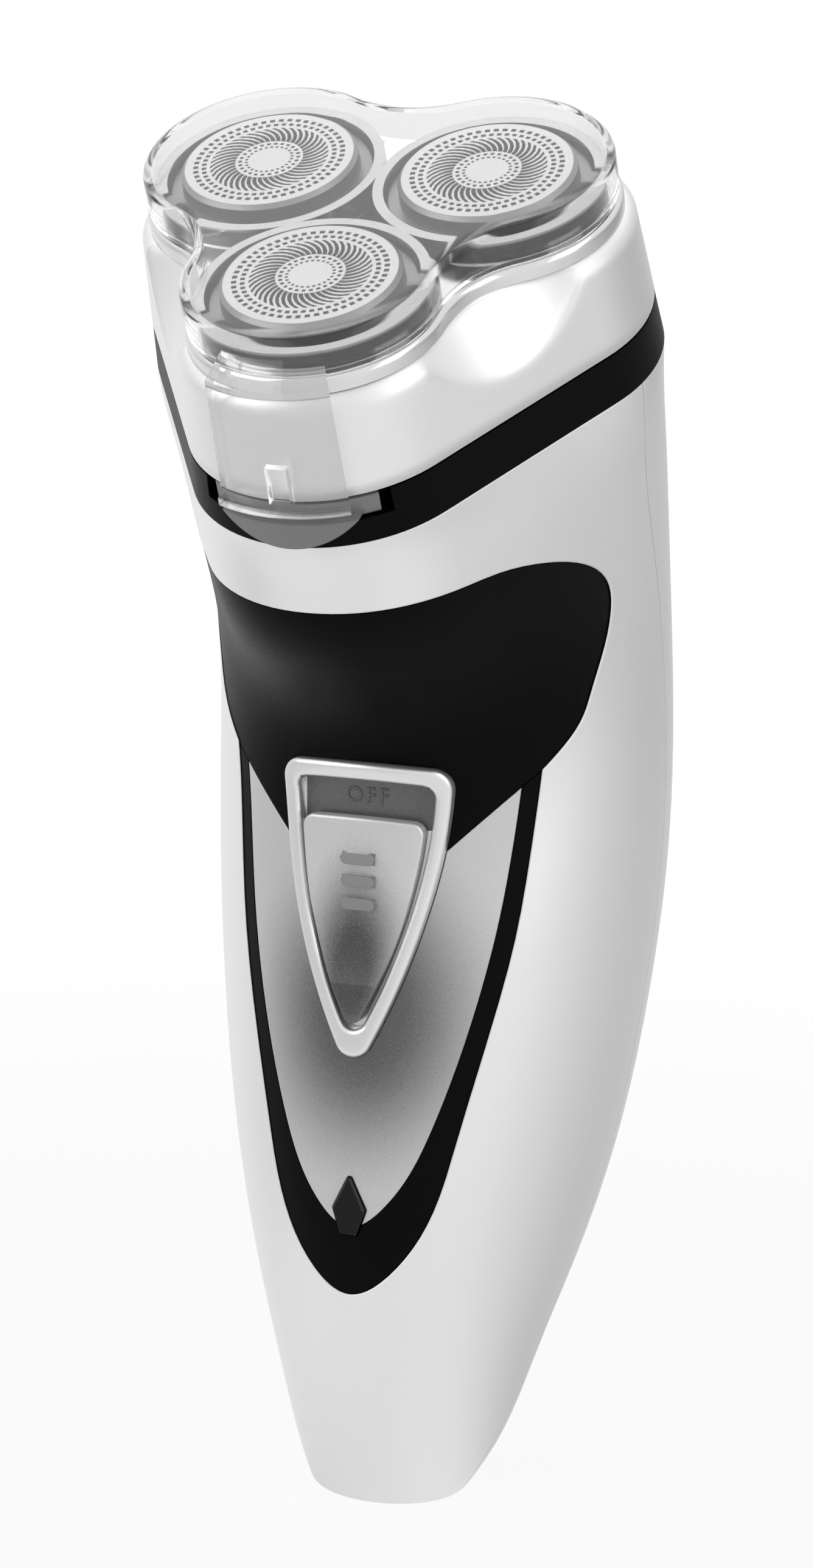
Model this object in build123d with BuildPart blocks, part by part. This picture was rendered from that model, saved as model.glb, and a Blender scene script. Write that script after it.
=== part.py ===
"""Electric shaver with three rotary heads, modelled as the pieces it is built from.

Millimetres, +Z up, the front of the shaver faces -Y.  The origin is the middle of the foot,
where the shaver stands.  The three heads share one axis that leans forward over the handle.
"""
import os
from math import atan2, cos, degrees, hypot, radians, sin, sqrt

from build123d import *

# Head frame: where the head axis meets the comb faces, and the ring of head centres
head_lean = 28.65
head_y = -26.0
head_z = 166.8
head_pitch = 16.0
head_turns = {"front": 270.0, "right": 30.0, "left": 150.0}
side_turns = (90.0, 210.0, 330.0)

# Levels along the head axis, counted from the comb faces
cap_top = 2.0
cap_rim = -3.6
boss_top = -1.2
step_top = -3.9
housing_top = -6.0
band_top = -19.2
band_foot = -25.3
collar_foot = -36.0
split_gap = 0.3

# Handle: foot, waist and flare as front point, back point, half width and widest share
foot = ((-11.5, 0.0), (11.0, 0.0), 9.8, 0.36)
heel = ((-16.6, 15.0), (18.0, 17.0), 16.4, 0.60)
shin = ((-19.6, 31.0), (24.5, 33.0), 21.3, 0.63)
waist = ((-20.3, 47.0), (29.0, 49.0), 25.1, 0.63)
grip_low = ((-19.8, 63.0), (31.5, 65.0), 27.5, 0.622)
grip_high = ((-19.0, 79.0), (33.0, 81.0), 28.9, 0.614)
neck = ((-18.3, 94.0), (33.0, 99.0), 29.25, 0.60)
flare = ((-24.5, 106.0), (27.8, 123.0), 29.25, 0.62)
flare_lobing = 0.25
collar_lobing = 0.85
collar_widest = 0.62
collar_half = 29.0
collar_r = 17.8
band_foot_r = 18.3
band_top_r = 17.8
back_fullness = 2.2
section_points = 24
shell_wall = 2.8
foot_wall = 2.5
foot_edge_r = 1.6

head_normal = (0, -sin(radians(head_lean)), cos(radians(head_lean)))
head_plane = Plane(origin=(0, head_y, head_z), x_dir=(1, 0, 0), z_dir=head_normal)
half_gap = head_pitch * sqrt(3) / 2
inner_reach = head_pitch / 2


def head_point(x, y, level):
    """Point in the head frame: across, towards the back, and along the axis."""
    return head_plane.from_local_coords(Vector(x, y, level))


def on_axis(reach, level):
    """(y, z) of a point in the middle plane, reach forward of the head axis."""
    point = head_point(0, -reach, level)
    return point.Y, point.Z


def lobed_station(radius, level):
    """Front and back points of a three-lobed outline square to the head axis."""
    return on_axis(head_pitch + radius, level), on_axis(-inner_reach - radius, level)


collar = lobed_station(collar_r, collar_foot)
brim = lobed_station(band_foot_r, band_foot)
handle_stations = [
    (*foot, 0.0),
    (*heel, 0.0),
    (*shin, 0.0),
    (*waist, 0.0),
    (*grip_low, 0.0),
    (*grip_high, 0.0),
    (*neck, 0.0),
    (*flare, flare_lobing),
    (*collar, collar_half, collar_widest, collar_lobing),
    (*brim, collar_half, collar_widest, 1.0),
]


def lobed_reach(radius, turn):
    """Distance from the head axis to a rounded triangle, turn measured from its front."""
    fold = abs((turn + 60) % 120 - 60)
    corner = degrees(atan2(radius * sqrt(3) / 2, head_pitch + radius / 2))
    if fold > corner:
        return (inner_reach + radius) / cos(radians(60 - fold))
    across = head_pitch * sin(radians(fold))
    return head_pitch * cos(radians(fold)) + sqrt(radius**2 - across**2)


def station_plane(station):
    """Plane of a handle section, with its origin on the widest line and y to the back."""
    (front_y, front_z), (back_y, back_z), _, widest, _ = station
    lean = Vector(0, back_y - front_y, back_z - front_z)
    origin = Vector(0, front_y, front_z) + lean * widest
    return Plane(origin=origin, x_dir=(1, 0, 0), z_dir=Vector(1, 0, 0).cross(lean))


def section_outline(station, inset):
    """Points round a handle section, half ellipses drawn towards the three-lobed outline."""
    (front_y, front_z), (back_y, back_z), half_width, widest, lobing = station
    depth = hypot(back_y - front_y, back_z - front_z)
    before = depth * widest - inset
    behind = depth * (1 - widest) - inset
    lobe_r = (depth - head_pitch - inner_reach) / 2 - inset
    axis_y = head_pitch + lobe_r - before
    outline = []
    for step in range(section_points):
        turn = 360 * (step + section_points / 2) / section_points
        power = 1.0 if cos(radians(turn)) >= 0 else 2 / back_fullness
        across, along = sin(radians(turn)), cos(radians(turn))
        x = (half_width - inset) * abs(across) ** power * (1 if across >= 0 else -1)
        y = -before * along if along >= 0 else behind * abs(along) ** power
        if lobing:
            lobe_turn = degrees(atan2(x, axis_y - y))
            reach = lobed_reach(lobe_r, lobe_turn)
            x += lobing * (reach * sin(radians(lobe_turn)) - x)
            y += lobing * (axis_y - reach * cos(radians(lobe_turn)) - y)
        outline.append((x, y))
    return outline


def handle_form(inset):
    """The handle's outer form, drawn in by the inset all round."""
    with BuildPart() as form:
        for station in handle_stations:
            with BuildSketch(station_plane(station)):
                with BuildLine():
                    Spline(*section_outline(station, inset), periodic=True)
                make_face()
        loft()
    return form.part


# Shell joints: bosses for the screws that hold the two halves, and pegs for the board
boss_r = 3.2
screw_shank_r = 1.2
screw_head_r = 2.4
screw_head_height = 1.8
screw_play = 0.1
screw_slot = 0.7
screw_slot_depth = 0.9
low_screw_z = 15.0
low_screw_face = 15.2
low_screw_tip = -3.8
high_screw_x = 17.5
high_screw_z = 97.0
high_screw_face = 27.5
high_screw_tip = 4.5

# Circuit board behind the front wall
board_front = -11.5
board_thickness = 1.4
board_half_width = 9.5
board_low = 36.0
board_high = 98.0
board_peg_r = 1.8
board_peg_x = 7.0
board_peg_low = 40.0
board_peg_high = 94.0

# Two cells side by side in the lower handle, lying on ribs of the back shell
cell_r = 7.15
cell_height = 49.0
cell_low = 25.0
cell_x = 7.4
cell_y = 9.0
cell_play = 0.15
cell_tip_r = 2.75
cell_tip = 1.0
rib_thickness = 1.6
rib_inset = 9.0
rib_front = 12.6

# Front dressing: panel, trim, plate, bezel and slider lie in one recess
skin = 1.4
skin_seat = 0.1
skin_gap = 0.1
skin_sink = 0.12
prism_start = 8.0
prism_reach = 70.0
bezel_rise = 1.2
bezel_floor = 1.0
bezel_edge_r = 0.7
slider_rise = 1.5
slider_edge_r = 0.4
slider_lift = 0.1
slider_travel = 4.2
thumb_r = 34.0
thumb_depth = 1.1
thumb_z = 80.5
ridge_levels = (80.7, 83.6, 86.5)
ridge_length = 4.4
ridge_height = 1.5
ridge_rise = 0.5
stem_half_width = 2.5
stem_low = 76.0
stem_high = 81.0
stem_play = 0.4
stem_end = -15.4

# Front outlines, right half, across and up
panel_top = [(0.0, 119.7), (9.0, 120.5), (16.0, 122.7), (22.2, 124.7)]
panel_side = [(22.2, 124.7), (26.4, 117.4), (24.6, 107.0), (19.9, 97.4)]
panel_tip = (8.0, 85.4)
trim_outer = [(0.0, 30.4), (5.5, 33.8), (12.6, 51.0), (17.8, 75.0), (20.2, 98.0)]
trim_inner = [(0.0, 39.3), (4.5, 42.3), (9.5, 51.5), (15.7, 75.0), (18.4, 98.0)]
# Shields: corner, crown, bow of the side, point before rounding, corner radius, point radius
bezel_outer = ((11.15, 97.9), 98.5, (7.83, 77.3), 58.7, 2.6, 2.4)
bezel_opening = ((8.95, 95.8), 96.25, (6.3, 78.7), 63.1, 1.6, 1.6)
slider_outline = ((8.0, 91.2), 91.55, (5.43, 77.1), 64.4, 1.6, 1.3)
point_growth = 2.2
lens_outline = [(0, 46.4), (2.2, 41.8), (1.1, 38.4), (-1.1, 38.4), (-2.2, 41.8)]
lens_corner_r = 0.35

# Indicator window and lamp
lens_front = -20.75
lens_back = -17.2
lens_chamfer = 0.3
lens_play = 0.1
led_r = 1.5
led_edge_r = 1.2
led_tip = -16.6
led_z = 42.0

# Slide switch on the board, worked through the stem
switch_half_width = 4.5
switch_low = 74.6
switch_high = 86.6
switch_front = -14.5
switch_floor = -11.9
actuator_width = 2.0
actuator_z = 78.5
actuator_back = -12.4
actuator_front = -17.0
actuator_play = 0.1


def both_sides(points):
    """Right half of an outline from the middle out, with its mirror image put before it."""
    return [(-x, z) for x, z in reversed(points[1:])] + points


def shifted(points, grow, loop=False):
    """Clockwise outline points moved outwards, square to the run through their neighbours."""
    moved = []
    last = len(points) - 1
    for place, (x, z) in enumerate(points):
        before = points[place - 1 if place or loop else 0]
        after = points[(place + 1) % (last + 1) if place < last or loop else last]
        run = Vector(after[0] - before[0], after[1] - before[1]).normalized()
        moved.append((x - run.Y * grow, z + run.X * grow))
    return moved


def panel_face(grow=0.0):
    """Panel outline: a swept top edge, round shoulders, and a V that ends under the bezel."""
    corner = (panel_top[-1][0], panel_top[-1][1] + grow)
    top = shifted(both_sides(panel_top), grow)[1:-1]
    low, tip = shifted([panel_side[-1], panel_tip], grow)
    side = [corner, *shifted(panel_side, grow)[1:-1], low]
    with BuildSketch() as outline:
        with BuildLine():
            Spline((-corner[0], corner[1]), *top, corner, tangents=((1, 0), (1, 0)))
            Spline(*side, tangents=((1, 0), (-0.8, -1)))
            Spline(*[(-x, z) for x, z in side], tangents=((-1, 0), (0.8, -1)))
            Polyline(low, tip, (-tip[0], tip[1]), (-low[0], low[1]))
        make_face()
    return outline.sketch


def vee_face(points, grow=0.0):
    """V-shaped outline that runs up under the panel."""
    whole = shifted(both_sides(points), -grow)
    with BuildSketch() as outline:
        with BuildLine():
            Spline(*whole, tangents=((0.1, -1), (0.1, 1)))
            Line(whole[-1], whole[0])
        make_face()
    return outline.sketch


def shield_face(shape, grow=0.0):
    """Shield outline with a crowned top, bowed sides and a rounded point below."""
    (half, top), crown, (bow_x, bow_z), point, corner_r, point_r = shape
    corner = (half + grow, top + grow)
    bow = (bow_x + grow, bow_z)
    low = (0, point - point_growth * grow)
    with BuildSketch() as outline:
        with BuildLine():
            ThreePointArc((-corner[0], corner[1]), (0, crown + grow), corner)
            ThreePointArc(corner, bow, low)
            ThreePointArc(low, (-bow[0], bow[1]), (-corner[0], corner[1]))
        make_face()
        fillet(outline.vertices().sort_by(Axis.Y)[1:], corner_r + grow)
        fillet(outline.vertices().sort_by(Axis.Y)[0], point_r + grow)
    return outline.sketch


def lens_face(grow=0.0):
    """Teardrop outline of the indicator window."""
    with BuildSketch() as outline:
        Polygon(*lens_outline, align=None)
        fillet(outline.vertices(), lens_corner_r)
        if grow:
            offset(amount=grow)
    return outline.sketch


def front_prism(outline):
    """A front outline carried forward through the front wall."""
    with BuildPart() as prism:
        with BuildSketch(Plane.XZ.offset(-prism_start)):
            add(outline)
        extrude(amount=prism_reach)
    return prism.part


outer_form = handle_form(0.0)
seat_form = handle_form(skin + skin_seat)
skin_form = handle_form(skin)
face_form = handle_form(skin_sink)
inner_form = handle_form(shell_wall)

parts = {}


def keep(name, piece):
    """File a finished piece under its own name."""
    piece.label = name
    parts[name] = piece


# Parting line of the two shells, through the widest point of each section
seam_gap = 0.15
seam_run = 30.0
seam_points = [(station_plane(s).origin.Y, station_plane(s).origin.Z) for s in handle_stations]


def shell_region(shift):
    """Everything in front of the parting line, moved back by the shift."""
    with BuildPart() as region:
        with BuildSketch(Plane.YZ):
            with BuildLine():
                seam = Spline(*[(y + shift, z) for y, z in seam_points])
                top = seam @ 1 + (seam % 1) * seam_run
                low = seam @ 0 - (seam % 0) * seam_run
                Polyline(seam @ 1, top, (-prism_reach, top.Y), (-prism_reach, low.Y), low, seam @ 0)
            make_face()
        extrude(amount=prism_reach, both=True)
    return region.part


# Charging inlet in the foot
inlet_y = 3.9
inlet_width = 9.0
inlet_depth = 5.6
inlet_low = 0.5
inlet_high = 9.0
inlet_wall = 1.1
inlet_flange = 0.8
inlet_flange_height = 1.4
inlet_play = 0.1
inlet_floor = 1.6
pin_r = 0.8
pin_play = 0.03
pin_x = 1.9
pin_low = 2.0
pin_high = 11.0

low_screw = (0.0, low_screw_z, low_screw_face, low_screw_tip)
left_screw = (-high_screw_x, high_screw_z, high_screw_face, high_screw_tip)
right_screw = (high_screw_x, high_screw_z, high_screw_face, high_screw_tip)
screw_places = [low_screw, left_screw, right_screw]
screw_spots = [(x, z) for x, z, _, _ in screw_places]
peg_spots = [(x, z) for x in (-board_peg_x, board_peg_x) for z in (board_peg_low, board_peg_high)]
cell_spots = [(-cell_x, cell_y), (cell_x, cell_y)]
rib_levels = [cell_low + rib_inset, cell_low + cell_height - rib_inset]

# Both shells in one blank: wall, screw bosses, board pegs and cell ribs
with BuildPart() as shell_fittings:
    with BuildSketch(Plane.XZ):
        with Locations(*screw_spots):
            Circle(boss_r)
    extrude(amount=prism_reach, both=True)
    with BuildSketch(Plane.XZ.offset(-board_front)):
        with Locations(*peg_spots):
            Circle(board_peg_r)
    extrude(amount=prism_reach)
    for level in rib_levels:
        with BuildSketch(Plane.XY.offset(level)):
            with Locations((0, rib_front)):
                Rectangle(prism_reach, prism_reach, align=(Align.CENTER, Align.MIN))
            with Locations(*cell_spots):
                Circle(cell_r + cell_play, mode=Mode.SUBTRACT)
        extrude(amount=rib_thickness)
    add(outer_form, mode=Mode.INTERSECT)

with BuildPart() as cavity:
    add(inner_form)
    split(bisect_by=Plane.XY.offset(foot_wall), keep=Keep.TOP)

with BuildPart() as shell_blank:
    add(outer_form)
    fillet(edges().group_by(Axis.Z)[0], foot_edge_r)
    add(cavity.part, mode=Mode.SUBTRACT)
    add(shell_fittings.part)
    with BuildSketch(Plane.XY):
        with Locations((0, inlet_y)):
            Rectangle(inlet_width + 2 * inlet_play, inlet_depth + 2 * inlet_play)
    extrude(amount=foot_wall, mode=Mode.SUBTRACT)


def screw_form(play, head_height):
    """The shell screws, heads to the back, larger all round by the play."""
    with BuildPart() as form:
        for x, z, face, tip in screw_places:
            seat = face - screw_head_height
            with BuildSketch(Plane.XZ.offset(-seat)):
                with Locations((x, z)):
                    Circle(screw_head_r + play)
            extrude(amount=-head_height)
            with BuildSketch(Plane.XZ.offset(-seat)):
                with Locations((x, z)):
                    Circle(screw_shank_r + play)
            extrude(amount=seat - tip + play)
    return form.part


screw_holes = screw_form(screw_play, prism_reach)
stem_middle = (stem_low + stem_high + slider_travel) / 2
stem_slot_width = 2 * (stem_half_width + stem_play)
stem_slot_height = stem_high - stem_low + slider_travel + 2 * stem_play

with BuildPart() as front_recess:
    add(front_prism(panel_face()))
    add(front_prism(vee_face(trim_outer)))
    add(seat_form, mode=Mode.SUBTRACT)

with BuildPart() as front_shell:
    add(shell_blank.part)
    add(shell_region(0.0), mode=Mode.INTERSECT)
    add(front_recess.part, mode=Mode.SUBTRACT)
    add(front_prism(lens_face(lens_play)), mode=Mode.SUBTRACT)
    with BuildSketch(Plane.XZ):
        with Locations((0, stem_middle)):
            Rectangle(stem_slot_width, stem_slot_height)
    extrude(amount=prism_reach, mode=Mode.SUBTRACT)
    add(screw_holes, mode=Mode.SUBTRACT)
keep("front_shell", front_shell.part)

with BuildPart() as back_shell:
    add(shell_blank.part)
    add(shell_region(seam_gap), mode=Mode.SUBTRACT)
    add(screw_holes, mode=Mode.SUBTRACT)
keep("back_shell", back_shell.part)

with BuildPart() as shell_screws:
    add(screw_form(0.0, screw_head_height))
    for x, z, face, _ in screw_places:
        with BuildSketch(Plane.XZ.offset(-face)):
            with Locations((x, z)):
                Rectangle(2 * screw_shank_r, screw_slot)
                Rectangle(screw_slot, 2 * screw_shank_r)
        extrude(amount=screw_slot_depth, mode=Mode.SUBTRACT)
keep("shell_screws", shell_screws.part)

# Front dressing, each piece cut from the handle's own form
bezel_room = front_prism(shield_face(bezel_outer, skin_gap))

with BuildPart() as grip_panel:
    add(front_prism(panel_face(-skin_gap)))
    add(face_form, mode=Mode.INTERSECT)
    add(skin_form, mode=Mode.SUBTRACT)
    add(bezel_room, mode=Mode.SUBTRACT)
keep("grip_panel", grip_panel.part)

with BuildPart() as trim_frame:
    add(front_prism(vee_face(trim_outer, -skin_gap)))
    add(front_prism(vee_face(trim_inner)), mode=Mode.SUBTRACT)
    add(front_prism(panel_face()), mode=Mode.SUBTRACT)
    add(front_prism(lens_face(lens_play)), mode=Mode.SUBTRACT)
    add(face_form, mode=Mode.INTERSECT)
    add(skin_form, mode=Mode.SUBTRACT)
keep("trim_frame", trim_frame.part)

with BuildPart() as switch_plate:
    add(front_prism(vee_face(trim_inner, -skin_gap)))
    add(front_prism(panel_face()), mode=Mode.SUBTRACT)
    add(front_prism(lens_face(lens_play)), mode=Mode.SUBTRACT)
    add(bezel_room, mode=Mode.SUBTRACT)
    add(face_form, mode=Mode.INTERSECT)
    add(skin_form, mode=Mode.SUBTRACT)
keep("switch_plate", switch_plate.part)

with BuildPart() as bezel_well:
    add(front_prism(shield_face(bezel_opening)))
    add(handle_form(bezel_floor), mode=Mode.SUBTRACT)

with BuildPart() as switch_bezel:
    add(front_prism(shield_face(bezel_outer)))
    add(handle_form(-bezel_rise), mode=Mode.INTERSECT)
    add(skin_form, mode=Mode.SUBTRACT)
    add(bezel_well.part, mode=Mode.SUBTRACT)
    fillet(faces().sort_by(Axis.Y)[0].edges(), bezel_edge_r)
    with BuildSketch(Plane.XZ):
        with Locations((0, stem_middle)):
            Rectangle(stem_slot_width, stem_slot_height)
    extrude(amount=prism_reach, mode=Mode.SUBTRACT)
keep("switch_bezel", switch_bezel.part)

# Slider with a thumb hollow, three ridges, and a stem that reaches the switch
slider_front = grip_high[0][0] - slider_rise
thumb_axis_y = slider_front + thumb_depth - thumb_r

with BuildPart() as slider_ridges:
    with BuildSketch(Plane.XZ.offset(-grip_high[0][0])):
        with Locations(*[(0, level) for level in ridge_levels]):
            SlotOverall(ridge_length, ridge_height)
    extrude(amount=2 * slider_rise)
    with BuildSketch(Plane.YZ):
        with Locations((thumb_axis_y, thumb_z)):
            Circle(thumb_r - ridge_rise)
    extrude(amount=ridge_length, both=True, mode=Mode.SUBTRACT)

with BuildPart() as power_slider:
    add(front_prism(shield_face(slider_outline)))
    add(handle_form(-slider_rise), mode=Mode.INTERSECT)
    add(handle_form(slider_lift), mode=Mode.SUBTRACT)
    fillet(faces().sort_by(Axis.Y)[0].edges(), slider_edge_r)
    with BuildSketch(Plane.YZ):
        with Locations((thumb_axis_y, thumb_z)):
            Circle(thumb_r)
    extrude(amount=prism_reach, both=True, mode=Mode.SUBTRACT)
    add(slider_ridges.part)
    with BuildSketch(Plane.XZ.offset(-stem_end)):
        with Locations((0, (stem_low + stem_high) / 2)):
            Rectangle(2 * stem_half_width, stem_high - stem_low)
    extrude(until=Until.NEXT)
    with BuildSketch(Plane.XZ.offset(-stem_end)):
        with Locations((0, actuator_z)):
            Rectangle(actuator_width + 2 * actuator_play, actuator_width + 2 * actuator_play)
    extrude(amount=stem_end - actuator_front + actuator_play, mode=Mode.SUBTRACT)
keep("power_slider", power_slider.part)

with BuildPart() as indicator_lens:
    with BuildSketch(Plane.XZ.offset(-lens_back)):
        add(lens_face())
    extrude(amount=lens_back - lens_front)
    chamfer(edges().group_by(Axis.Y)[0], lens_chamfer)
keep("indicator_lens", indicator_lens.part)

# Board, lamp and switch
with BuildPart() as circuit_board:
    with BuildSketch(Plane.XZ.offset(-board_front)):
        with Locations((0, (board_low + board_high) / 2)):
            Rectangle(2 * board_half_width, board_high - board_low)
    extrude(amount=-board_thickness)
keep("circuit_board", circuit_board.part)

with BuildPart() as indicator_led:
    with BuildSketch(Plane.XZ.offset(-board_front)):
        with Locations((0, led_z)):
            Circle(led_r)
    extrude(amount=board_front - led_tip)
    fillet(edges().group_by(Axis.Y)[0], led_edge_r)
keep("indicator_led", indicator_led.part)

with BuildPart() as slide_switch:
    with BuildSketch(Plane.XZ.offset(-board_front)):
        with Locations((0, (switch_low + switch_high) / 2)):
            Rectangle(2 * switch_half_width, switch_high - switch_low)
    extrude(amount=board_front - switch_front)
    with BuildSketch(Plane.XZ.offset(-switch_floor)):
        with Locations((0, actuator_z + slider_travel / 2)):
            Rectangle(
                actuator_width + 4 * actuator_play,
                actuator_width + slider_travel + 4 * actuator_play,
            )
    extrude(amount=prism_reach, mode=Mode.SUBTRACT)
keep("slide_switch", slide_switch.part)

with BuildPart() as switch_actuator:
    with BuildSketch(Plane.XZ.offset(-actuator_back)):
        with Locations((0, actuator_z)):
            Rectangle(actuator_width, actuator_width)
    extrude(amount=actuator_back - actuator_front)
keep("switch_actuator", switch_actuator.part)

# Cells and the strips that join them
tab_thickness = 0.4
tab_width = 6.0

for name, spot in (("battery_left", cell_spots[0]), ("battery_right", cell_spots[1])):
    with BuildPart() as battery:
        with BuildSketch(Plane.XY.offset(cell_low)):
            with Locations(spot):
                Circle(cell_r)
        extrude(amount=cell_height)
        chamfer(edges(), tab_thickness)
        with BuildSketch(Plane.XY.offset(cell_low + cell_height)):
            with Locations(spot):
                Circle(cell_tip_r)
        extrude(amount=cell_tip)
    keep(name, battery.part)

with BuildPart() as battery_tabs:
    with BuildSketch(Plane.XY.offset(cell_low)):
        with Locations((0, cell_y)):
            Rectangle(2 * cell_x + tab_width, tab_width)
    extrude(amount=-tab_thickness)
    with BuildSketch(Plane.XY.offset(cell_low + cell_height + cell_tip)):
        with Locations(*cell_spots):
            Rectangle(tab_width, tab_width)
    extrude(amount=tab_thickness)
keep("battery_tabs", battery_tabs.part)

# Charging inlet: a socket from below, held by its flange on the foot wall
with BuildPart() as charging_inlet:
    with BuildSketch(Plane.XY.offset(inlet_low)):
        with Locations((0, inlet_y)):
            Rectangle(inlet_width, inlet_depth)
    extrude(amount=inlet_high - inlet_low)
    with BuildSketch(Plane.XY.offset(foot_wall)):
        with Locations((0, inlet_y)):
            Rectangle(inlet_width + 2 * inlet_flange, inlet_depth)
    extrude(amount=inlet_flange_height)
    with BuildSketch(Plane.XY.offset(inlet_low)):
        with Locations((0, inlet_y)):
            RectangleRounded(inlet_width - 2 * inlet_wall, inlet_depth - 2 * inlet_wall, inlet_wall)
    extrude(amount=inlet_high - inlet_low - inlet_floor, mode=Mode.SUBTRACT)
    with BuildSketch(Plane.XY.offset(inlet_low)):
        with Locations((-pin_x, inlet_y), (pin_x, inlet_y)):
            Circle(pin_r + pin_play)
    extrude(amount=inlet_high, mode=Mode.SUBTRACT)
keep("charging_inlet", charging_inlet.part)

with BuildPart() as inlet_pins:
    with BuildSketch(Plane.XY.offset(pin_low)):
        with Locations((-pin_x, inlet_y), (pin_x, inlet_y)):
            Circle(pin_r)
    extrude(amount=pin_high - pin_low)
keep("inlet_pins", inlet_pins.part)


def polar(reach, turn):
    """Point at a reach and a turn from the middle."""
    return reach * cos(radians(turn)), reach * sin(radians(turn))


head_spots = {name: polar(head_pitch, turn) for name, turn in head_turns.items()}
head_axis = Axis(head_plane.origin, head_plane.z_dir)
turn_plane = Plane(origin=head_plane.origin, x_dir=(1, 0, 0), z_dir=-head_plane.y_dir)
front_origin = head_point(*head_spots["front"], 0)
front_plane = Plane(origin=front_origin, x_dir=(1, 0, 0), z_dir=-head_plane.y_dir)
front_axis = Axis(front_origin, head_plane.z_dir)


def to_head(name):
    """Step from the head axis to one head's own axis."""
    return head_point(*head_spots[name], 0) - head_plane.origin


def hull_face(radius):
    """Rounded triangle round the three heads."""
    with BuildSketch() as outline:
        RegularPolygon(radius=head_pitch, side_count=3, rotation=head_turns["front"])
        offset(amount=radius, kind=Kind.ARC)
    return outline.sketch


def trilobe_face(radius, hollow_r):
    """Three round lobes joined by hollows."""
    rise = sqrt((radius + hollow_r) ** 2 - half_gap**2)
    spread = degrees(atan2(half_gap, rise))
    with BuildSketch() as outline:
        with BuildLine():
            for turn in head_turns.values():
                lobe = polar(head_pitch, turn)
                CenterArc(lobe, radius, turn - 60 - spread, 120 + 2 * spread)
                hollow = polar(inner_reach + rise, turn + 60)
                CenterArc(hollow, hollow_r, turn + 240 + spread, -2 * spread)
        make_face()
    return outline.sketch


def front_sector(inner, outer, half_turn):
    """Ring sector about the front head, open to the front."""
    with BuildSketch() as outline:
        with Locations(head_spots["front"]):
            Circle(outer)
            Circle(inner, mode=Mode.SUBTRACT)
        with BuildLine():
            start = Vector(*head_spots["front"])
            left = start + Vector(*polar(2 * outer, head_turns["front"] - half_turn))
            right = start + Vector(*polar(2 * outer, head_turns["front"] + half_turn))
            Polyline(start, left, right, close=True)
        make_face(mode=Mode.INTERSECT)
    return outline.sketch


def turned(profile):
    """A profile of radius and level turned about the head axis."""
    with BuildPart() as form:
        with BuildSketch(turn_plane):
            with BuildLine():
                Polyline(*profile, close=True)
            make_face()
        revolve(axis=head_axis)
    return form.part


def front_radial(turn):
    """Upright plane through the front head's axis: outwards at a turn, and along the axis."""
    ahead = head_plane.y_dir * -cos(radians(turn))
    outward = head_plane.x_dir * sin(radians(turn)) + ahead
    return Plane(origin=front_origin, x_dir=outward, z_dir=outward.cross(head_plane.z_dir))


# Hinge at the back of the band
hinge_y = 25.4
hinge_level = -18.2
hinge_pin_r = 0.8
hinge_play = 0.05
hinge_fit = 0.01
knuckle_r = 2.0
knuckle_half = 4.9
ear_start = 5.2
ear_width = 4.0
ear_half = 1.6
ear_room = 0.5
knuckle_room = 0.4
hinge_plane = Plane(
    origin=head_point(0, hinge_y, hinge_level), x_dir=head_plane.y_dir, z_dir=(1, 0, 0)
)

# Release button in the front of the band, and the latch it frees
button_floor_r = 15.6
button_back_r = 16.8
button_plate_r = 17.5
button_face_r = 19.2
button_plate_half = 35.5
button_recess_half = 40.0
button_low = -21.9
button_high = -19.5
moon_half = 8.5
moon_low = -24.9
moon_high = -21.4
moon_play = 0.35
latch_half = 2.1
latch_play = 0.4
latch_low = -20.3
latch_stem_high = -19.4
latch_inner_r = 14.2
latch_post_r = 14.9
latch_nose_r = 15.2
latch_nose_low = -17.0
latch_high = -16.5
catch_r = 15.35
catch_low = -17.9
catch_high = -17.2
catch_half_turn = 9.0
button_travel = 1.0

# Band and the drive deck that lies in it
deck_r = 14.6
deck_play = 0.15
deck_seat = -22.3
deck_top = -20.5
band_inner_r = 13.4
spigot_r = 14.7
spigot_foot = -27.3
band_taper = degrees(atan2(band_foot_r - band_top_r, band_top - band_foot))


def moon_face(grow):
    """Half-moon thumb piece: straight top, bowed below."""
    half = moon_half + grow
    top = moon_high + grow
    with BuildSketch() as outline:
        with BuildLine():
            ThreePointArc((-half, top), (0, moon_low - grow), (half, top))
            Line((half, top), (-half, top))
        make_face()
    return outline.sketch


with BuildPart() as button_recess:
    with BuildSketch(head_plane.offset(button_low - split_gap)):
        add(front_sector(button_floor_r, 2 * button_floor_r, button_recess_half))
    extrude(amount=head_pitch)
    with BuildSketch(front_plane):
        add(moon_face(moon_play))
    extrude(amount=2 * button_floor_r)
    with BuildSketch(head_plane.offset(spigot_foot)):
        with Locations(head_spots["front"]):
            Circle(button_floor_r)
    extrude(amount=head_pitch, mode=Mode.SUBTRACT)

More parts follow.
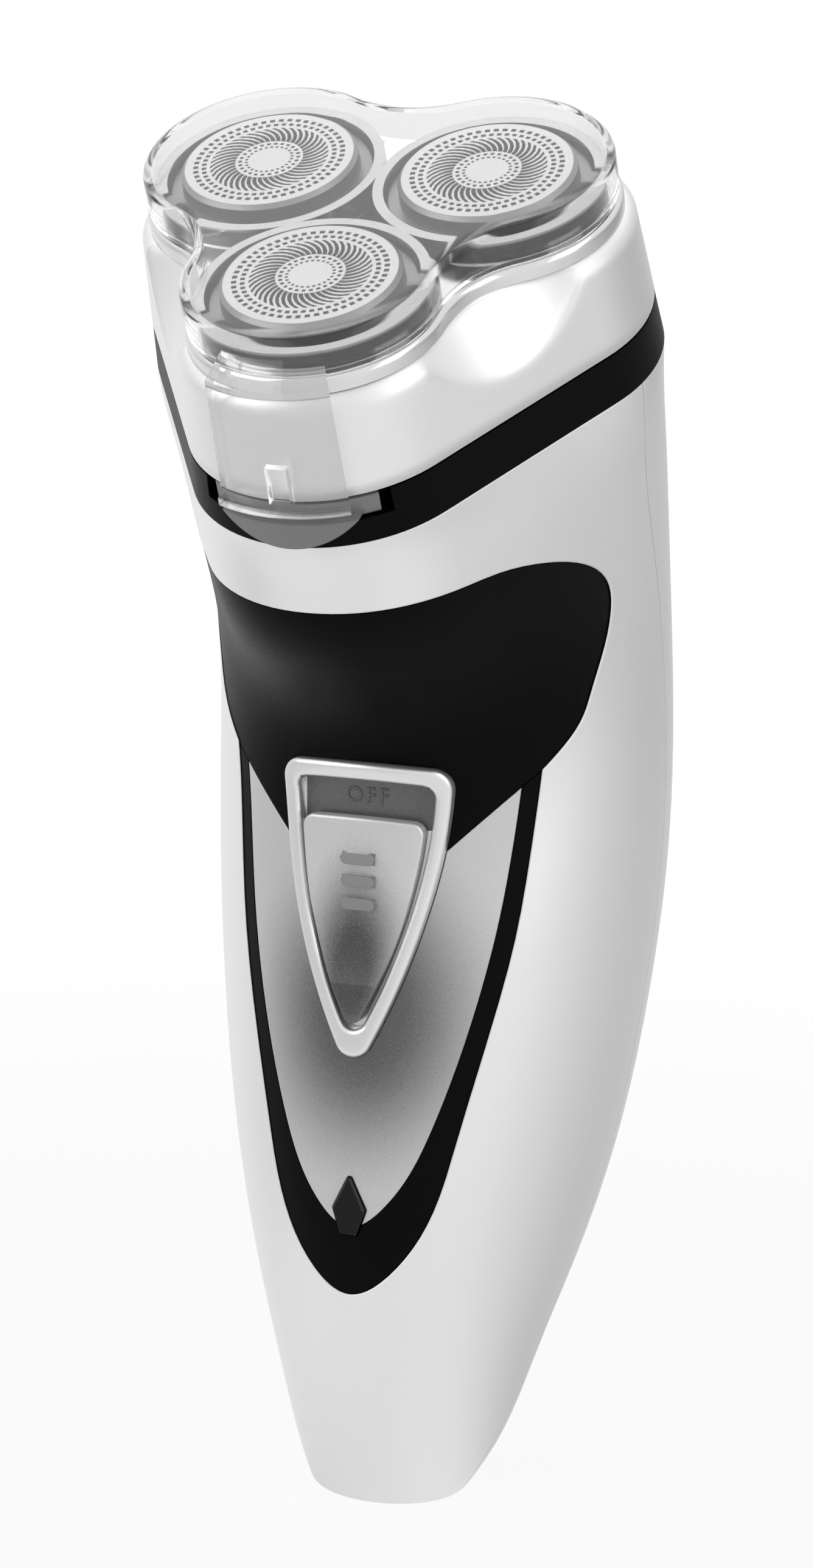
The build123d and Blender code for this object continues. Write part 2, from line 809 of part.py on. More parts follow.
with BuildPart() as collar_band:
    with BuildSketch(head_plane.offset(band_foot)):
        add(hull_face(band_foot_r))
    extrude(amount=band_top - band_foot, taper=band_taper)
    with BuildSketch(head_plane.offset(spigot_foot)):
        add(hull_face(spigot_r))
    extrude(amount=band_foot - spigot_foot)
    with BuildSketch(head_plane.offset(deck_seat)):
        add(hull_face(deck_r + deck_play))
    extrude(amount=band_top - deck_seat, mode=Mode.SUBTRACT)
    with BuildSketch(head_plane.offset(spigot_foot)):
        add(hull_face(band_inner_r))
    extrude(amount=deck_seat - spigot_foot, mode=Mode.SUBTRACT)
    add(button_recess.part, mode=Mode.SUBTRACT)
    with BuildSketch(front_plane.offset(band_inner_r)):
        with Locations((0, latch_low - split_gap)):
            Rectangle(2 * (latch_half + latch_play), head_pitch, align=(Align.CENTER, Align.MIN))
    extrude(amount=button_face_r, mode=Mode.SUBTRACT)
    with BuildSketch(hinge_plane):
        with Locations((-knuckle_r - 2 * knuckle_room, -knuckle_r - knuckle_room)):
            Rectangle(head_pitch, head_pitch, align=(Align.MIN, Align.MIN))
    extrude(amount=ear_start, both=True, mode=Mode.SUBTRACT)
    for side in (-1, 1):
        with BuildSketch(hinge_plane.offset(side * ear_start)):
            Circle(knuckle_r)
            Rectangle(2 * ear_half, knuckle_r, align=(Align.CENTER, Align.MAX))
        extrude(amount=side * ear_width)
    with BuildSketch(hinge_plane):
        Circle(hinge_pin_r + hinge_fit)
    extrude(amount=ear_start + ear_width, both=True, mode=Mode.SUBTRACT)
keep("collar_band", collar_band.part)

with BuildPart() as hinge_pin:
    with BuildSketch(hinge_plane):
        Circle(hinge_pin_r)
    extrude(amount=ear_start + ear_width, both=True)
keep("hinge_pin", hinge_pin.part)

with BuildPart() as button_front:
    with BuildSketch(front_plane):
        add(moon_face(0.0))
    extrude(amount=2 * button_face_r)
    with BuildSketch(head_plane.offset(spigot_foot)):
        with Locations(head_spots["front"]):
            Circle(button_face_r)
            Circle(button_back_r, mode=Mode.SUBTRACT)
    extrude(amount=head_pitch, mode=Mode.INTERSECT)

with BuildPart() as release_button:
    add(button_front.part)
    with BuildSketch(head_plane.offset(button_low)):
        add(front_sector(button_back_r, button_plate_r, button_plate_half))
    extrude(amount=button_high - button_low)
    with BuildSketch(front_plane.offset(latch_inner_r)):
        with Locations((0, latch_low)):
            Rectangle(2 * latch_half, latch_stem_high - latch_low, align=(Align.CENTER, Align.MIN))
    extrude(amount=button_back_r - latch_inner_r + button_travel / 2)
    with BuildSketch(front_plane.offset(latch_inner_r)):
        with Locations((0, latch_low)):
            Rectangle(2 * latch_half, latch_high - latch_low, align=(Align.CENTER, Align.MIN))
    extrude(amount=latch_post_r - latch_inner_r)
    with BuildSketch(front_plane.offset(latch_inner_r)):
        with Locations((0, latch_nose_low)):
            Rectangle(2 * latch_half, latch_high - latch_nose_low, align=(Align.CENTER, Align.MIN))
    extrude(amount=latch_nose_r - latch_inner_r)
keep("release_button", release_button.part)

# Bowed leaf that pushes the button out again
leaf_half = 4.6
leaf_low = -23.6
leaf_height = 1.4
leaf_thickness = 0.2
leaf_play = 0.05
leaf_foot_r = sqrt((button_floor_r + leaf_play) ** 2 - leaf_half**2)
leaf_crown_r = button_back_r - leaf_play - leaf_thickness

with BuildPart() as release_spring:
    with BuildSketch(head_plane.offset(leaf_low)):
        with BuildLine():
            ThreePointArc(
                (-leaf_half, -head_pitch - leaf_foot_r),
                (0, -head_pitch - leaf_crown_r),
                (leaf_half, -head_pitch - leaf_foot_r),
            )
            offset(amount=leaf_thickness, side=Side.RIGHT)
        make_face()
    extrude(amount=leaf_height)
keep("release_spring", release_spring.part)

# Drive deck with posts that carry the gear plate
post_r = 2.6
post_reach = 17.5
spindle_hole_r = 2.9
splash_r = 4.2
splash_top = -18.5
gear_plate_top = -31.2
gear_plate_foot = -33.2
gear_plate_r = 13.5
deck_screw_r = 1.0
deck_screw_head_r = 2.2
deck_screw_head = 1.4
deck_screw_play = 0.05
axle_r = 1.0
axle_play = 0.06
axle_fit = 0.01
axle_tip = -14.0
motor_boss_r = 3.0
motor_boss_top = -31.7
motor_boss_play = 0.1
post_spots = [polar(post_reach, turn) for turn in side_turns]

with BuildPart() as drive_deck:
    with BuildSketch(head_plane.offset(deck_seat)):
        add(hull_face(deck_r))
    extrude(amount=deck_top - deck_seat)
    with BuildSketch(head_plane.offset(gear_plate_top)):
        with Locations(*post_spots):
            Circle(post_r)
    extrude(amount=deck_seat - gear_plate_top)
    with BuildSketch(head_plane.offset(deck_top)):
        with Locations(*head_spots.values()):
            Circle(splash_r)
    extrude(amount=splash_top - deck_top)
    with BuildSketch(head_plane.offset(deck_seat)):
        with Locations(*head_spots.values()):
            Circle(spindle_hole_r)
    extrude(amount=splash_top - deck_seat, mode=Mode.SUBTRACT)
    with BuildSketch(head_plane.offset(gear_plate_top)):
        with Locations(*post_spots):
            Circle(deck_screw_r + deck_screw_play)
    extrude(amount=deck_top - gear_plate_top, mode=Mode.SUBTRACT)
    with BuildSketch(head_plane.offset(deck_top)):
        with Locations(*post_spots):
            Circle(deck_screw_head_r + deck_screw_play)
    extrude(amount=-deck_screw_head, mode=Mode.SUBTRACT)
keep("drive_deck", drive_deck.part)

with BuildPart() as deck_screws:
    with BuildSketch(head_plane.offset(gear_plate_foot)):
        with Locations(*post_spots):
            Circle(deck_screw_r)
    extrude(amount=deck_top - gear_plate_foot)
    with BuildSketch(head_plane.offset(deck_top)):
        with Locations(*post_spots):
            Circle(deck_screw_head_r)
    extrude(amount=-deck_screw_head)
    with BuildSketch(head_plane.offset(deck_top)):
        with Locations(*post_spots):
            Rectangle(2 * deck_screw_r, screw_slot)
            Rectangle(screw_slot, 2 * deck_screw_r)
    extrude(amount=-screw_slot_depth, mode=Mode.SUBTRACT)
keep("deck_screws", deck_screws.part)

with BuildPart() as gear_plate:
    with BuildSketch(head_plane.offset(gear_plate_foot)):
        add(hull_face(gear_plate_r))
        Circle(motor_boss_r + motor_boss_play, mode=Mode.SUBTRACT)
        with Locations(*head_spots.values()):
            Circle(axle_r + axle_fit, mode=Mode.SUBTRACT)
        with Locations(*post_spots):
            Circle(deck_screw_r + deck_screw_play, mode=Mode.SUBTRACT)
    extrude(amount=gear_plate_top - gear_plate_foot)
keep("gear_plate", gear_plate.part)

with BuildPart() as gear_axles:
    with BuildSketch(head_plane.offset(gear_plate_foot)):
        with Locations(*head_spots.values()):
            Circle(axle_r)
    extrude(amount=axle_tip - gear_plate_foot)
keep("gear_axles", gear_axles.part)

# Motor under the gear plate, with one pinion that drives the three gears
motor_r = 10.2
motor_flat = 15.4
motor_foot = -60.2
motor_tail_r = 3.5
motor_tail = 1.4
motor_bore_foot = -41.0
terminal_x = 5.0
terminal_width = 2.4
terminal_length = 3.0
terminal_thickness = 0.5
shaft_r = 1.0
shaft_play = 0.06
shaft_foot = -40.0
shaft_top = -25.6
gear_foot = -29.2
gear_top = -26.2
pinion_teeth = 12
gear_teeth = 36
gear_module = 2 * head_pitch / (pinion_teeth + gear_teeth)
tooth_tip = 0.85 * gear_module
tooth_root = 1.15 * gear_module
tooth_tip_share = 0.13
tooth_root_share = 0.27
gear_hub_r = 2.2
gear_hub_foot = -31.0

with BuildPart() as drive_motor:
    with BuildSketch(head_plane.offset(motor_foot)):
        Circle(motor_r)
        Rectangle(2 * motor_r, motor_flat, mode=Mode.INTERSECT)
    extrude(amount=gear_plate_foot - motor_foot)
    with BuildSketch(head_plane.offset(gear_plate_foot)):
        Circle(motor_boss_r)
    extrude(amount=motor_boss_top - gear_plate_foot)
    with BuildSketch(head_plane.offset(motor_foot)):
        Circle(motor_tail_r)
    extrude(amount=-motor_tail)
    with BuildSketch(head_plane.offset(motor_foot)):
        with Locations((-terminal_x, 0), (terminal_x, 0)):
            Rectangle(terminal_width, terminal_thickness)
    extrude(amount=-terminal_length)
    with BuildSketch(head_plane.offset(motor_bore_foot)):
        Circle(shaft_r + shaft_play)
    extrude(amount=motor_boss_top - motor_bore_foot, mode=Mode.SUBTRACT)
keep("drive_motor", drive_motor.part)


def gear_face(teeth, start):
    """Straight-sided gear outline, with the middle of one tooth at the start turn."""
    pitch_r = gear_module * teeth / 2
    pitch_turn = 360 / teeth
    corners = []
    for tooth in range(teeth):
        middle = start + tooth * pitch_turn
        corners.append(polar(pitch_r - tooth_root, middle - tooth_root_share * pitch_turn))
        corners.append(polar(pitch_r + tooth_tip, middle - tooth_tip_share * pitch_turn))
        corners.append(polar(pitch_r + tooth_tip, middle + tooth_tip_share * pitch_turn))
        corners.append(polar(pitch_r - tooth_root, middle + tooth_root_share * pitch_turn))
    with BuildSketch() as outline:
        Polygon(*corners, align=None)
    return outline.sketch


with BuildPart() as motor_pinion:
    with BuildSketch(head_plane.offset(gear_foot)):
        add(gear_face(pinion_teeth, head_turns["right"]))
    extrude(amount=gear_top - gear_foot)
    with BuildSketch(head_plane.offset(shaft_foot)):
        Circle(shaft_r)
    extrude(amount=shaft_top - shaft_foot)
keep("motor_pinion", motor_pinion.part)

for name, turn in head_turns.items():
    with BuildPart() as drive_gear:
        with BuildSketch(head_plane.offset(gear_foot)):
            with Locations(head_spots[name]):
                add(gear_face(gear_teeth, turn + 180 + 180 / gear_teeth))
        extrude(amount=gear_top - gear_foot)
        with BuildSketch(head_plane.offset(gear_hub_foot)):
            with Locations(head_spots[name]):
                Circle(gear_hub_r)
        extrude(amount=gear_foot - gear_hub_foot)
        with BuildSketch(head_plane.offset(gear_hub_foot)):
            with Locations(head_spots[name]):
                Circle(axle_r + axle_play)
        extrude(amount=gear_top - gear_hub_foot, mode=Mode.SUBTRACT)
    keep(f"drive_gear_{name}", drive_gear.part)

# Spindles stand on the gears and end in flat keys for the cutters
spindle_r = 2.4
spindle_shoulder = -10.0
key_r = 1.5
key_cone = -8.0
key_tip = -6.6
key_tip_r = 0.8
key_half = 0.9
spindle_bore_top = -13.0

with BuildPart() as spindle_form:
    add(
        turned(
            [
                (0, gear_top),
                (spindle_r, gear_top),
                (spindle_r, spindle_shoulder),
                (key_r, spindle_shoulder),
                (key_r, key_cone),
                (key_tip_r, key_tip),
                (0, key_tip),
            ]
        )
    )
    with BuildSketch(head_plane.offset(spindle_shoulder)):
        Rectangle(4 * spindle_r, 4 * spindle_r)
        Rectangle(2 * key_half, 4 * spindle_r, mode=Mode.SUBTRACT)
    extrude(amount=key_tip - spindle_shoulder, mode=Mode.SUBTRACT)
    with BuildSketch(head_plane.offset(gear_top)):
        Circle(axle_r + axle_play)
    extrude(amount=spindle_bore_top - gear_top, mode=Mode.SUBTRACT)

for name in head_turns:
    with BuildPart() as drive_spindle:
        with Locations(to_head(name)):
            add(spindle_form.part)
    keep(f"drive_spindle_{name}", drive_spindle.part)

# Head housing: a tapered shell, hollowed between the lobes, open below
housing_foot = band_top + split_gap
housing_foot_r = 17.8
housing_top_r = 16.8
housing_wall = 1.8
housing_roof = 1.6
shoulder_r = 2.0
scoop_r = 14.0
scoop_half_width = 19.5
scoop_valley = 20.3
scoop_run = 5.0
scoop_drop = 7.4
comb_opening_r = 13.3
centre_post_r = 2.5
stud_r = 1.5
stud_head_r = 2.2
stud_head = -12.75
stud_foot = -13.4
frame_top = -8.7
housing_height = housing_top - housing_foot
housing_taper = degrees(atan2(housing_foot_r - housing_top_r, housing_height))


def scoops(grow):
    """Leaning round cutters that hollow the head between its lobes."""
    lean = atan2(scoop_run, scoop_drop)
    with BuildPart() as form:
        for turn in side_turns:
            along, aside = polar(1, turn)
            outward = head_plane.x_dir * along + head_plane.y_dir * aside
            down = outward * scoop_run - head_plane.z_dir * scoop_drop
            reach = scoop_valley + scoop_r / cos(lean)
            start = head_point(*polar(reach, turn), housing_top)
            with BuildSketch(Plane(origin=start, x_dir=outward.cross(down), z_dir=down)):
                Ellipse(scoop_half_width + grow, scoop_r + grow)
            extrude(amount=2 * head_pitch, both=True)
    return form.part


with BuildPart() as housing_cavity:
    with BuildSketch(head_plane.offset(housing_foot)):
        add(hull_face(housing_foot_r - housing_wall))
    extrude(amount=housing_height - housing_roof, taper=housing_taper)
    add(scoops(housing_wall), mode=Mode.SUBTRACT)

with BuildPart() as head_housing:
    with BuildSketch(head_plane.offset(housing_foot)):
        add(hull_face(housing_foot_r))
    extrude(amount=housing_height, taper=housing_taper)
    fillet(edges().group_by(head_axis)[-1], shoulder_r)
    add(scoops(0.0), mode=Mode.SUBTRACT)
    add(housing_cavity.part, mode=Mode.SUBTRACT)
    with BuildSketch(head_plane.offset(housing_top)):
        with Locations(*head_spots.values()):
            Circle(comb_opening_r)
    extrude(amount=-2 * housing_roof, mode=Mode.SUBTRACT)
    add(
        turned(
            [
                (0, housing_top - housing_roof / 2),
                (centre_post_r, housing_top - housing_roof / 2),
                (centre_post_r, frame_top),
                (stud_r, frame_top),
                (stud_r, stud_head),
                (stud_head_r, stud_head),
                (stud_head_r, stud_foot),
                (0, stud_foot),
            ]
        )
    )
    with BuildSketch(head_plane.offset(catch_low)):
        add(front_sector(catch_r, housing_foot_r - housing_wall / 2, catch_half_turn))
    extrude(amount=catch_high - catch_low)
    for side in (-1, 1):
        with BuildSketch(hinge_plane.offset(side * knuckle_half)):
            with Locations((-knuckle_r - 2 * knuckle_room, -head_pitch)):
                Rectangle(
                    head_pitch, head_pitch + knuckle_r + ear_room, align=(Align.MIN, Align.MIN)
                )
        extrude(amount=side * (ear_start + ear_width - knuckle_half + split_gap), mode=Mode.SUBTRACT)
    with BuildSketch(hinge_plane):
        Circle(knuckle_r)
    extrude(amount=knuckle_half, both=True)
    with BuildSketch(hinge_plane):
        Circle(hinge_pin_r + hinge_play)
    extrude(amount=knuckle_half, both=True, mode=Mode.SUBTRACT)
keep("head_housing", head_housing.part)

# Bright rim: a lobed step with three round bosses, where the combs look out
rim_r = 15.7
rim_hollow_r = 12.7
rim_edge_r = 0.9
boss_rim_r = 13.9
rim_hole_r = 12.6

with BuildPart() as head_rim:
    with BuildSketch(head_plane.offset(housing_top)):
        add(trilobe_face(rim_r, rim_hollow_r))
    extrude(amount=step_top - housing_top)
    fillet(edges().group_by(head_axis)[-1], rim_edge_r)
    with BuildSketch(head_plane.offset(step_top - rim_edge_r)):
        with Locations(*head_spots.values()):
            Circle(boss_rim_r)
    extrude(amount=boss_top - step_top + rim_edge_r)
    with BuildSketch(head_plane.offset(housing_top)):
        with Locations(*head_spots.values()):
            Circle(rim_hole_r)
    extrude(amount=boss_top - housing_top, mode=Mode.SUBTRACT)
keep("head_rim", head_rim.part)

# Combs: thin slotted caps with a flange under the rim
comb_face_r = 10.3
comb_edge_r = 10.8
comb_bevel = 0.5
comb_ledge = -2.4
comb_body_r = 12.2
comb_flange_top = -6.1
comb_flange_r = 12.95
comb_foot = -7.2
comb_inner_r = 10.0
comb_skin = 0.6
slot_count = 36
slot_inner_r = 4.6
slot_outer_r = 7.4
slot_half = 0.22
slot_swirl = 14.0
hole_side = 0.55
outer_hole_r = 8.7
outer_hole_count = 36
inner_hole_r = 3.5
inner_hole_count = 18

with BuildPart() as comb_form:
    add(
        turned(
            [
                (0, 0),
                (comb_face_r, 0),
                (comb_edge_r, -comb_bevel),
                (comb_edge_r, comb_ledge),
                (comb_body_r, comb_ledge),
                (comb_body_r, comb_flange_top),
                (comb_flange_r, comb_flange_top),
                (comb_flange_r, comb_foot),
                (comb_inner_r, comb_foot),
                (comb_inner_r, -comb_skin),
                (0, -comb_skin),
            ]
        )
    )
    swirl_x, swirl_y = polar(slot_outer_r, slot_swirl)
    with BuildSketch(head_plane):
        with PolarLocations(0, slot_count):
            Polygon(
                (slot_inner_r, -slot_half),
                (swirl_x, swirl_y - slot_half),
                (swirl_x, swirl_y + slot_half),
                (slot_inner_r, slot_half),
                align=None,
            )
        with PolarLocations(outer_hole_r, outer_hole_count):
            Rectangle(hole_side, hole_side)
        with PolarLocations(inner_hole_r, inner_hole_count):
            Rectangle(hole_side, hole_side)
    extrude(amount=-2 * comb_skin, mode=Mode.SUBTRACT)

# Cutters: a disc with blades round a hub that takes the spindle's key
cutter_hub_r = 3.4
cutter_hub_top = -3.0
cutter_foot = -8.0
cutter_disc_r = 9.4
cutter_disc_top = -3.2
cutter_disc_foot = -4.2
blade_count = 12
blade_inner_r = 4.8
blade_outer_r = 9.2
blade_thickness = 0.9
blade_play = 0.2
key_play = 0.3
key_socket_top = -5.0

with BuildPart() as cutter_form:
    with BuildSketch(head_plane.offset(cutter_foot)):
        Circle(cutter_hub_r)
    extrude(amount=cutter_hub_top - cutter_foot)
    with BuildSketch(head_plane.offset(cutter_disc_foot)):
        Circle(cutter_disc_r)
    extrude(amount=cutter_disc_top - cutter_disc_foot)
    with BuildSketch(head_plane.offset(cutter_disc_foot)):
        with PolarLocations((blade_inner_r + blade_outer_r) / 2, blade_count):
            Rectangle(blade_outer_r - blade_inner_r, blade_thickness)
    extrude(amount=-comb_skin - blade_play - cutter_disc_foot)
    with BuildSketch(head_plane.offset(cutter_foot)):
        Rectangle(2 * (key_half + key_play), 2 * (key_r + key_play))
    extrude(amount=key_socket_top - cutter_foot, mode=Mode.SUBTRACT)

for name in head_turns:
    with BuildPart() as comb:
        with Locations(to_head(name)):
            add(comb_form.part)
    keep(f"comb_{name}", comb.part)
    with BuildPart() as cutter:
        with Locations(to_head(name)):
            add(cutter_form.part)
    keep(f"cutter_{name}", cutter.part)

# Frame that holds the combs from below, and the knob that locks it on its stud
frame_ring_r = 12.8
frame_hole_r = 9.6
frame_hub_r = 4.4
frame_foot = -10.1
frame_play = 0.1
knob_top = -10.3
knob_foot = -12.6
knob_r = 3.2
knob_play = 0.05
wing_reach = 7.5
wing_width = 2.6

with BuildPart() as cutter_frame:
    with BuildSketch(head_plane.offset(frame_foot)):
        Circle(frame_hub_r)
        with Locations(*head_spots.values()):
            Circle(frame_ring_r)
        with Locations(*head_spots.values()):
            Circle(frame_hole_r, mode=Mode.SUBTRACT)
        Circle(stud_r + frame_play, mode=Mode.SUBTRACT)
    extrude(amount=frame_top - frame_foot)
keep("cutter_frame", cutter_frame.part)

with BuildPart() as lock_knob:
    with BuildSketch(head_plane.offset(knob_foot)):
        Circle(knob_r)
        SlotOverall(2 * wing_reach, wing_width)
        Circle(stud_r + knob_play, mode=Mode.SUBTRACT)
    extrude(amount=knob_top - knob_foot)
keep("lock_knob", lock_knob.part)

# Clear cap over the heads, with a tab down the front that covers the release button
cap_r = 15.35
cap_hollow_r = 13.0
cap_wall = 1.2
cap_edge_r = 1.5
tab_half_turn = 24.0
tab_profile = [
    (14.8, -0.9),
    (18.6, -3.6),
    (19.45, -18.9),
    (20.15, -18.9),
    (20.2, -19.9),
    (18.15, -19.9),
    (17.3, -5.3),
    (15.2, -3.5),
]
tab_slot_width = 2.7
tab_slot_height = 5.0
tab_slot_level = -16.3

with BuildPart() as head_cap:
    with BuildSketch(head_plane.offset(cap_rim)):
        add(trilobe_face(cap_r, cap_hollow_r))
    extrude(amount=cap_top - cap_rim)
    fillet(edges().group_by(head_axis)[-1], cap_edge_r)
    with BuildSketch(front_radial(-tab_half_turn)):
        with BuildLine():
            Polyline(*tab_profile, close=True)
        make_face()
    revolve(axis=front_axis, revolution_arc=2 * tab_half_turn)
    with BuildSketch(head_plane.offset(cap_rim)):
        add(trilobe_face(cap_r - cap_wall, cap_hollow_r + cap_wall))
    extrude(amount=cap_top - cap_wall - cap_rim, mode=Mode.SUBTRACT)
    with BuildSketch(front_plane.offset(tab_profile[-2][0])):
        with Locations((0, tab_slot_level)):
            Rectangle(tab_slot_width, tab_slot_height)
    extrude(amount=head_pitch, mode=Mode.SUBTRACT)
keep("head_cap", head_cap.part)

os.makedirs("parts", exist_ok=True)
for name, piece in parts.items():
    export_step(piece, f"parts/{name}.step")
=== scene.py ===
"""Electric shaver with three rotary heads: materials, pierced combs, switch mark, light and camera."""

from math import cos, degrees, radians, sin

import bmesh
import bpy
from mathutils import Matrix, Vector
from mathutils.bvhtree import BVHTree


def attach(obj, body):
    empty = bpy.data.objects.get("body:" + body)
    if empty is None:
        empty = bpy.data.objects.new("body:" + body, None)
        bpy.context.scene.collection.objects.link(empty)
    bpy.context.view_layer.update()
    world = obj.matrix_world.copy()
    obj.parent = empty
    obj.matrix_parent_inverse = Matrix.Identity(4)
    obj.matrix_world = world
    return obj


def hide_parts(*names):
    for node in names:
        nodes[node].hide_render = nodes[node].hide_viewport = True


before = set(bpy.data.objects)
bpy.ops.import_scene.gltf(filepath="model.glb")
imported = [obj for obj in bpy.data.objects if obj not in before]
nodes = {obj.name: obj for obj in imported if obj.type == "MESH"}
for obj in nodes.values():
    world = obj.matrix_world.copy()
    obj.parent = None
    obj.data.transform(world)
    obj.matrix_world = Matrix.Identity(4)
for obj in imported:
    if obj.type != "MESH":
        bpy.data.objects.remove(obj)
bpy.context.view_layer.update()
scene = bpy.context.scene
MM = 0.001

# Head frame, as in the solids: where the head's axis meets the comb faces, how far it leans forwards,
# and how far from it, in millimetres, and at which turns the combs stand
HEAD_LEAN = radians(28.65)
HEAD_ORIGIN = Vector((0, -26.0, 166.8)) * MM
HEAD_PITCH = 16.0
HEAD_TURNS = {"front": 270, "right": 30, "left": 150}
HEAD_X = Vector((1, 0, 0))
HEAD_Y = Vector((0, cos(HEAD_LEAN), sin(HEAD_LEAN)))
HEAD_N = Vector((0, -sin(HEAD_LEAN), cos(HEAD_LEAN)))


def polar(reach, turn):
    """Point at a reach and a turn, in degrees, from the middle."""
    return reach * cos(radians(turn)), reach * sin(radians(turn))


def head_matrix(x, y):
    """Placement on the comb faces' level of the head frame, in millimetres: across, towards the back."""
    place = HEAD_ORIGIN + (HEAD_X * x + HEAD_Y * y) * MM
    return Matrix.Translation(place) @ Matrix((HEAD_X, HEAD_Y, HEAD_N)).transposed().to_4x4()


def srgb(code):
    """Linear colour of an sRGB hex code."""
    channels = [int(code[i : i + 2], 16) / 255 for i in (1, 3, 5)]
    return [c / 12.92 if c <= 0.04045 else ((c + 0.055) / 1.055) ** 2.4 for c in channels] + [1.0]


def add_node(tree, kind, settings=None, links=None):
    """A node with its settings, and with its inputs linked from other nodes' outputs."""
    node = tree.nodes.new(kind)
    for name, value in (settings or {}).items():
        if isinstance(name, int) or name in node.inputs:
            node.inputs[name].default_value = value
        else:
            setattr(node, name, value)
    for name, source in (links or {}).items():
        tree.links.new(source, node.inputs[name])
    return node


# Sockets of a Mix node that mixes colours, which share their names with its other sockets
MIX_SHARE = 0
MIX_FIRST = 6
MIX_SECOND = 7
MIX_RESULT = 2


def surface(name, settings):
    """A new material, its node tree and its main shader, with the shader's constant values set."""
    made = bpy.data.materials.new(name)
    made.use_nodes = True
    shader = made.node_tree.nodes["Principled BSDF"]
    for socket, value in settings.items():
        shader.inputs[socket].default_value = value
    return made, made.node_tree, shader


# Nearly all of a noise pattern lies between these two values
NOISE_LOW = 0.3
NOISE_HIGH = 0.7


def grained(tree, shader, grain_mm, depth_mm, edge_mm, rough):
    """Fine grain of a surface: uneven roughness, a shallow bump, and edges that catch the light.

    Lacquer flake and ground metal have a grain of a few hundredths of a millimetre. It is drawn at
    tenths of a millimetre, as coarse as it needs to show.
    """
    place = add_node(tree, "ShaderNodeTexCoord")
    grain = add_node(
        tree,
        "ShaderNodeTexNoise",
        {"Scale": 1 / (grain_mm * MM), "Detail": 3.0, "Roughness": 0.55},
        {"Vector": place.outputs["Object"]},
    )
    dull = add_node(
        tree,
        "ShaderNodeMapRange",
        {"From Min": NOISE_LOW, "From Max": NOISE_HIGH, "To Min": rough[0], "To Max": rough[1]},
        {"Value": grain.outputs["Fac"]},
    )
    rounded = add_node(tree, "ShaderNodeBevel", {"samples": 4, "Radius": edge_mm * MM})
    bump = add_node(
        tree,
        "ShaderNodeBump",
        {"Strength": 0.6, "Distance": depth_mm * MM},
        {"Height": grain.outputs["Fac"], "Normal": rounded.outputs["Normal"]},
    )
    tree.links.new(dull.outputs["Result"], shader.inputs["Roughness"])
    tree.links.new(bump.outputs["Normal"], shader.inputs["Normal"])
    return place, grain


def flake_paint(name, dark, pale, rough, metallic, edge_mm):
    """Silver lacquer on moulded ABS: aluminium flake gives a satin sheen and a fine speckle."""
    made, tree, shader = surface(
        name, {"Metallic": metallic, "Coat Weight": 0.1, "Coat Roughness": 0.25}
    )
    _, grain = grained(tree, shader, grain_mm=0.15, depth_mm=0.004, edge_mm=edge_mm, rough=rough)
    tint = add_node(
        tree,
        "ShaderNodeMix",
        {"data_type": "RGBA", MIX_FIRST: srgb(dark), MIX_SECOND: srgb(pale)},
        {MIX_SHARE: grain.outputs["Fac"]},
    )
    tree.links.new(tint.outputs[MIX_RESULT], shader.inputs["Base Color"])
    return made


# Strength of the speckle in lacquer with painted shade, as a share of its whole grading
SPECKLE = 0.07


def lacquer_painted_shade(name, dark, pale, near_mm, far_mm, middle_mm, stretch):
    """Silver lacquer with painted shade: dark round a middle point of the front and paler away from it.

    The middle and the stretch are given across and upwards.
    """
    made, tree, shader = surface(name, {"Metallic": 0.5, "Coat Weight": 0.15, "Coat Roughness": 0.2})
    place, grain = grained(tree, shader, grain_mm=0.22, depth_mm=0.006, edge_mm=0.2, rough=(0.30, 0.42))
    shift = [-c * s * MM for c, s in zip(middle_mm, stretch)]
    offset = add_node(
        tree,
        "ShaderNodeMapping",
        {"Location": (shift[0], 0.0, shift[1]), "Scale": (stretch[0], 0.0, stretch[1])},
        {"Vector": place.outputs["Object"]},
    )
    reach = add_node(tree, "ShaderNodeVectorMath", {"operation": "LENGTH"}, {0: offset.outputs[0]})
    share = add_node(
        tree,
        "ShaderNodeMapRange",
        {"interpolation_type": "SMOOTHSTEP", "From Min": near_mm * MM, "From Max": far_mm * MM},
        {"Value": reach.outputs["Value"]},
    )
    speckle = add_node(
        tree,
        "ShaderNodeMapRange",
        {"From Min": NOISE_LOW, "From Max": NOISE_HIGH, "To Min": -SPECKLE, "To Max": SPECKLE},
        {"Value": grain.outputs["Fac"]},
    )
    level = add_node(
        tree,
        "ShaderNodeMath",
        {"operation": "ADD"},
        {0: share.outputs["Result"], 1: speckle.outputs["Result"]},
    )
    tint = add_node(
        tree,
        "ShaderNodeMix",
        {"data_type": "RGBA", MIX_FIRST: srgb(dark), MIX_SECOND: srgb(pale)},
        {MIX_SHARE: level.outputs[0]},
    )
    tree.links.new(tint.outputs[MIX_RESULT], shader.inputs["Base Color"])
    return made


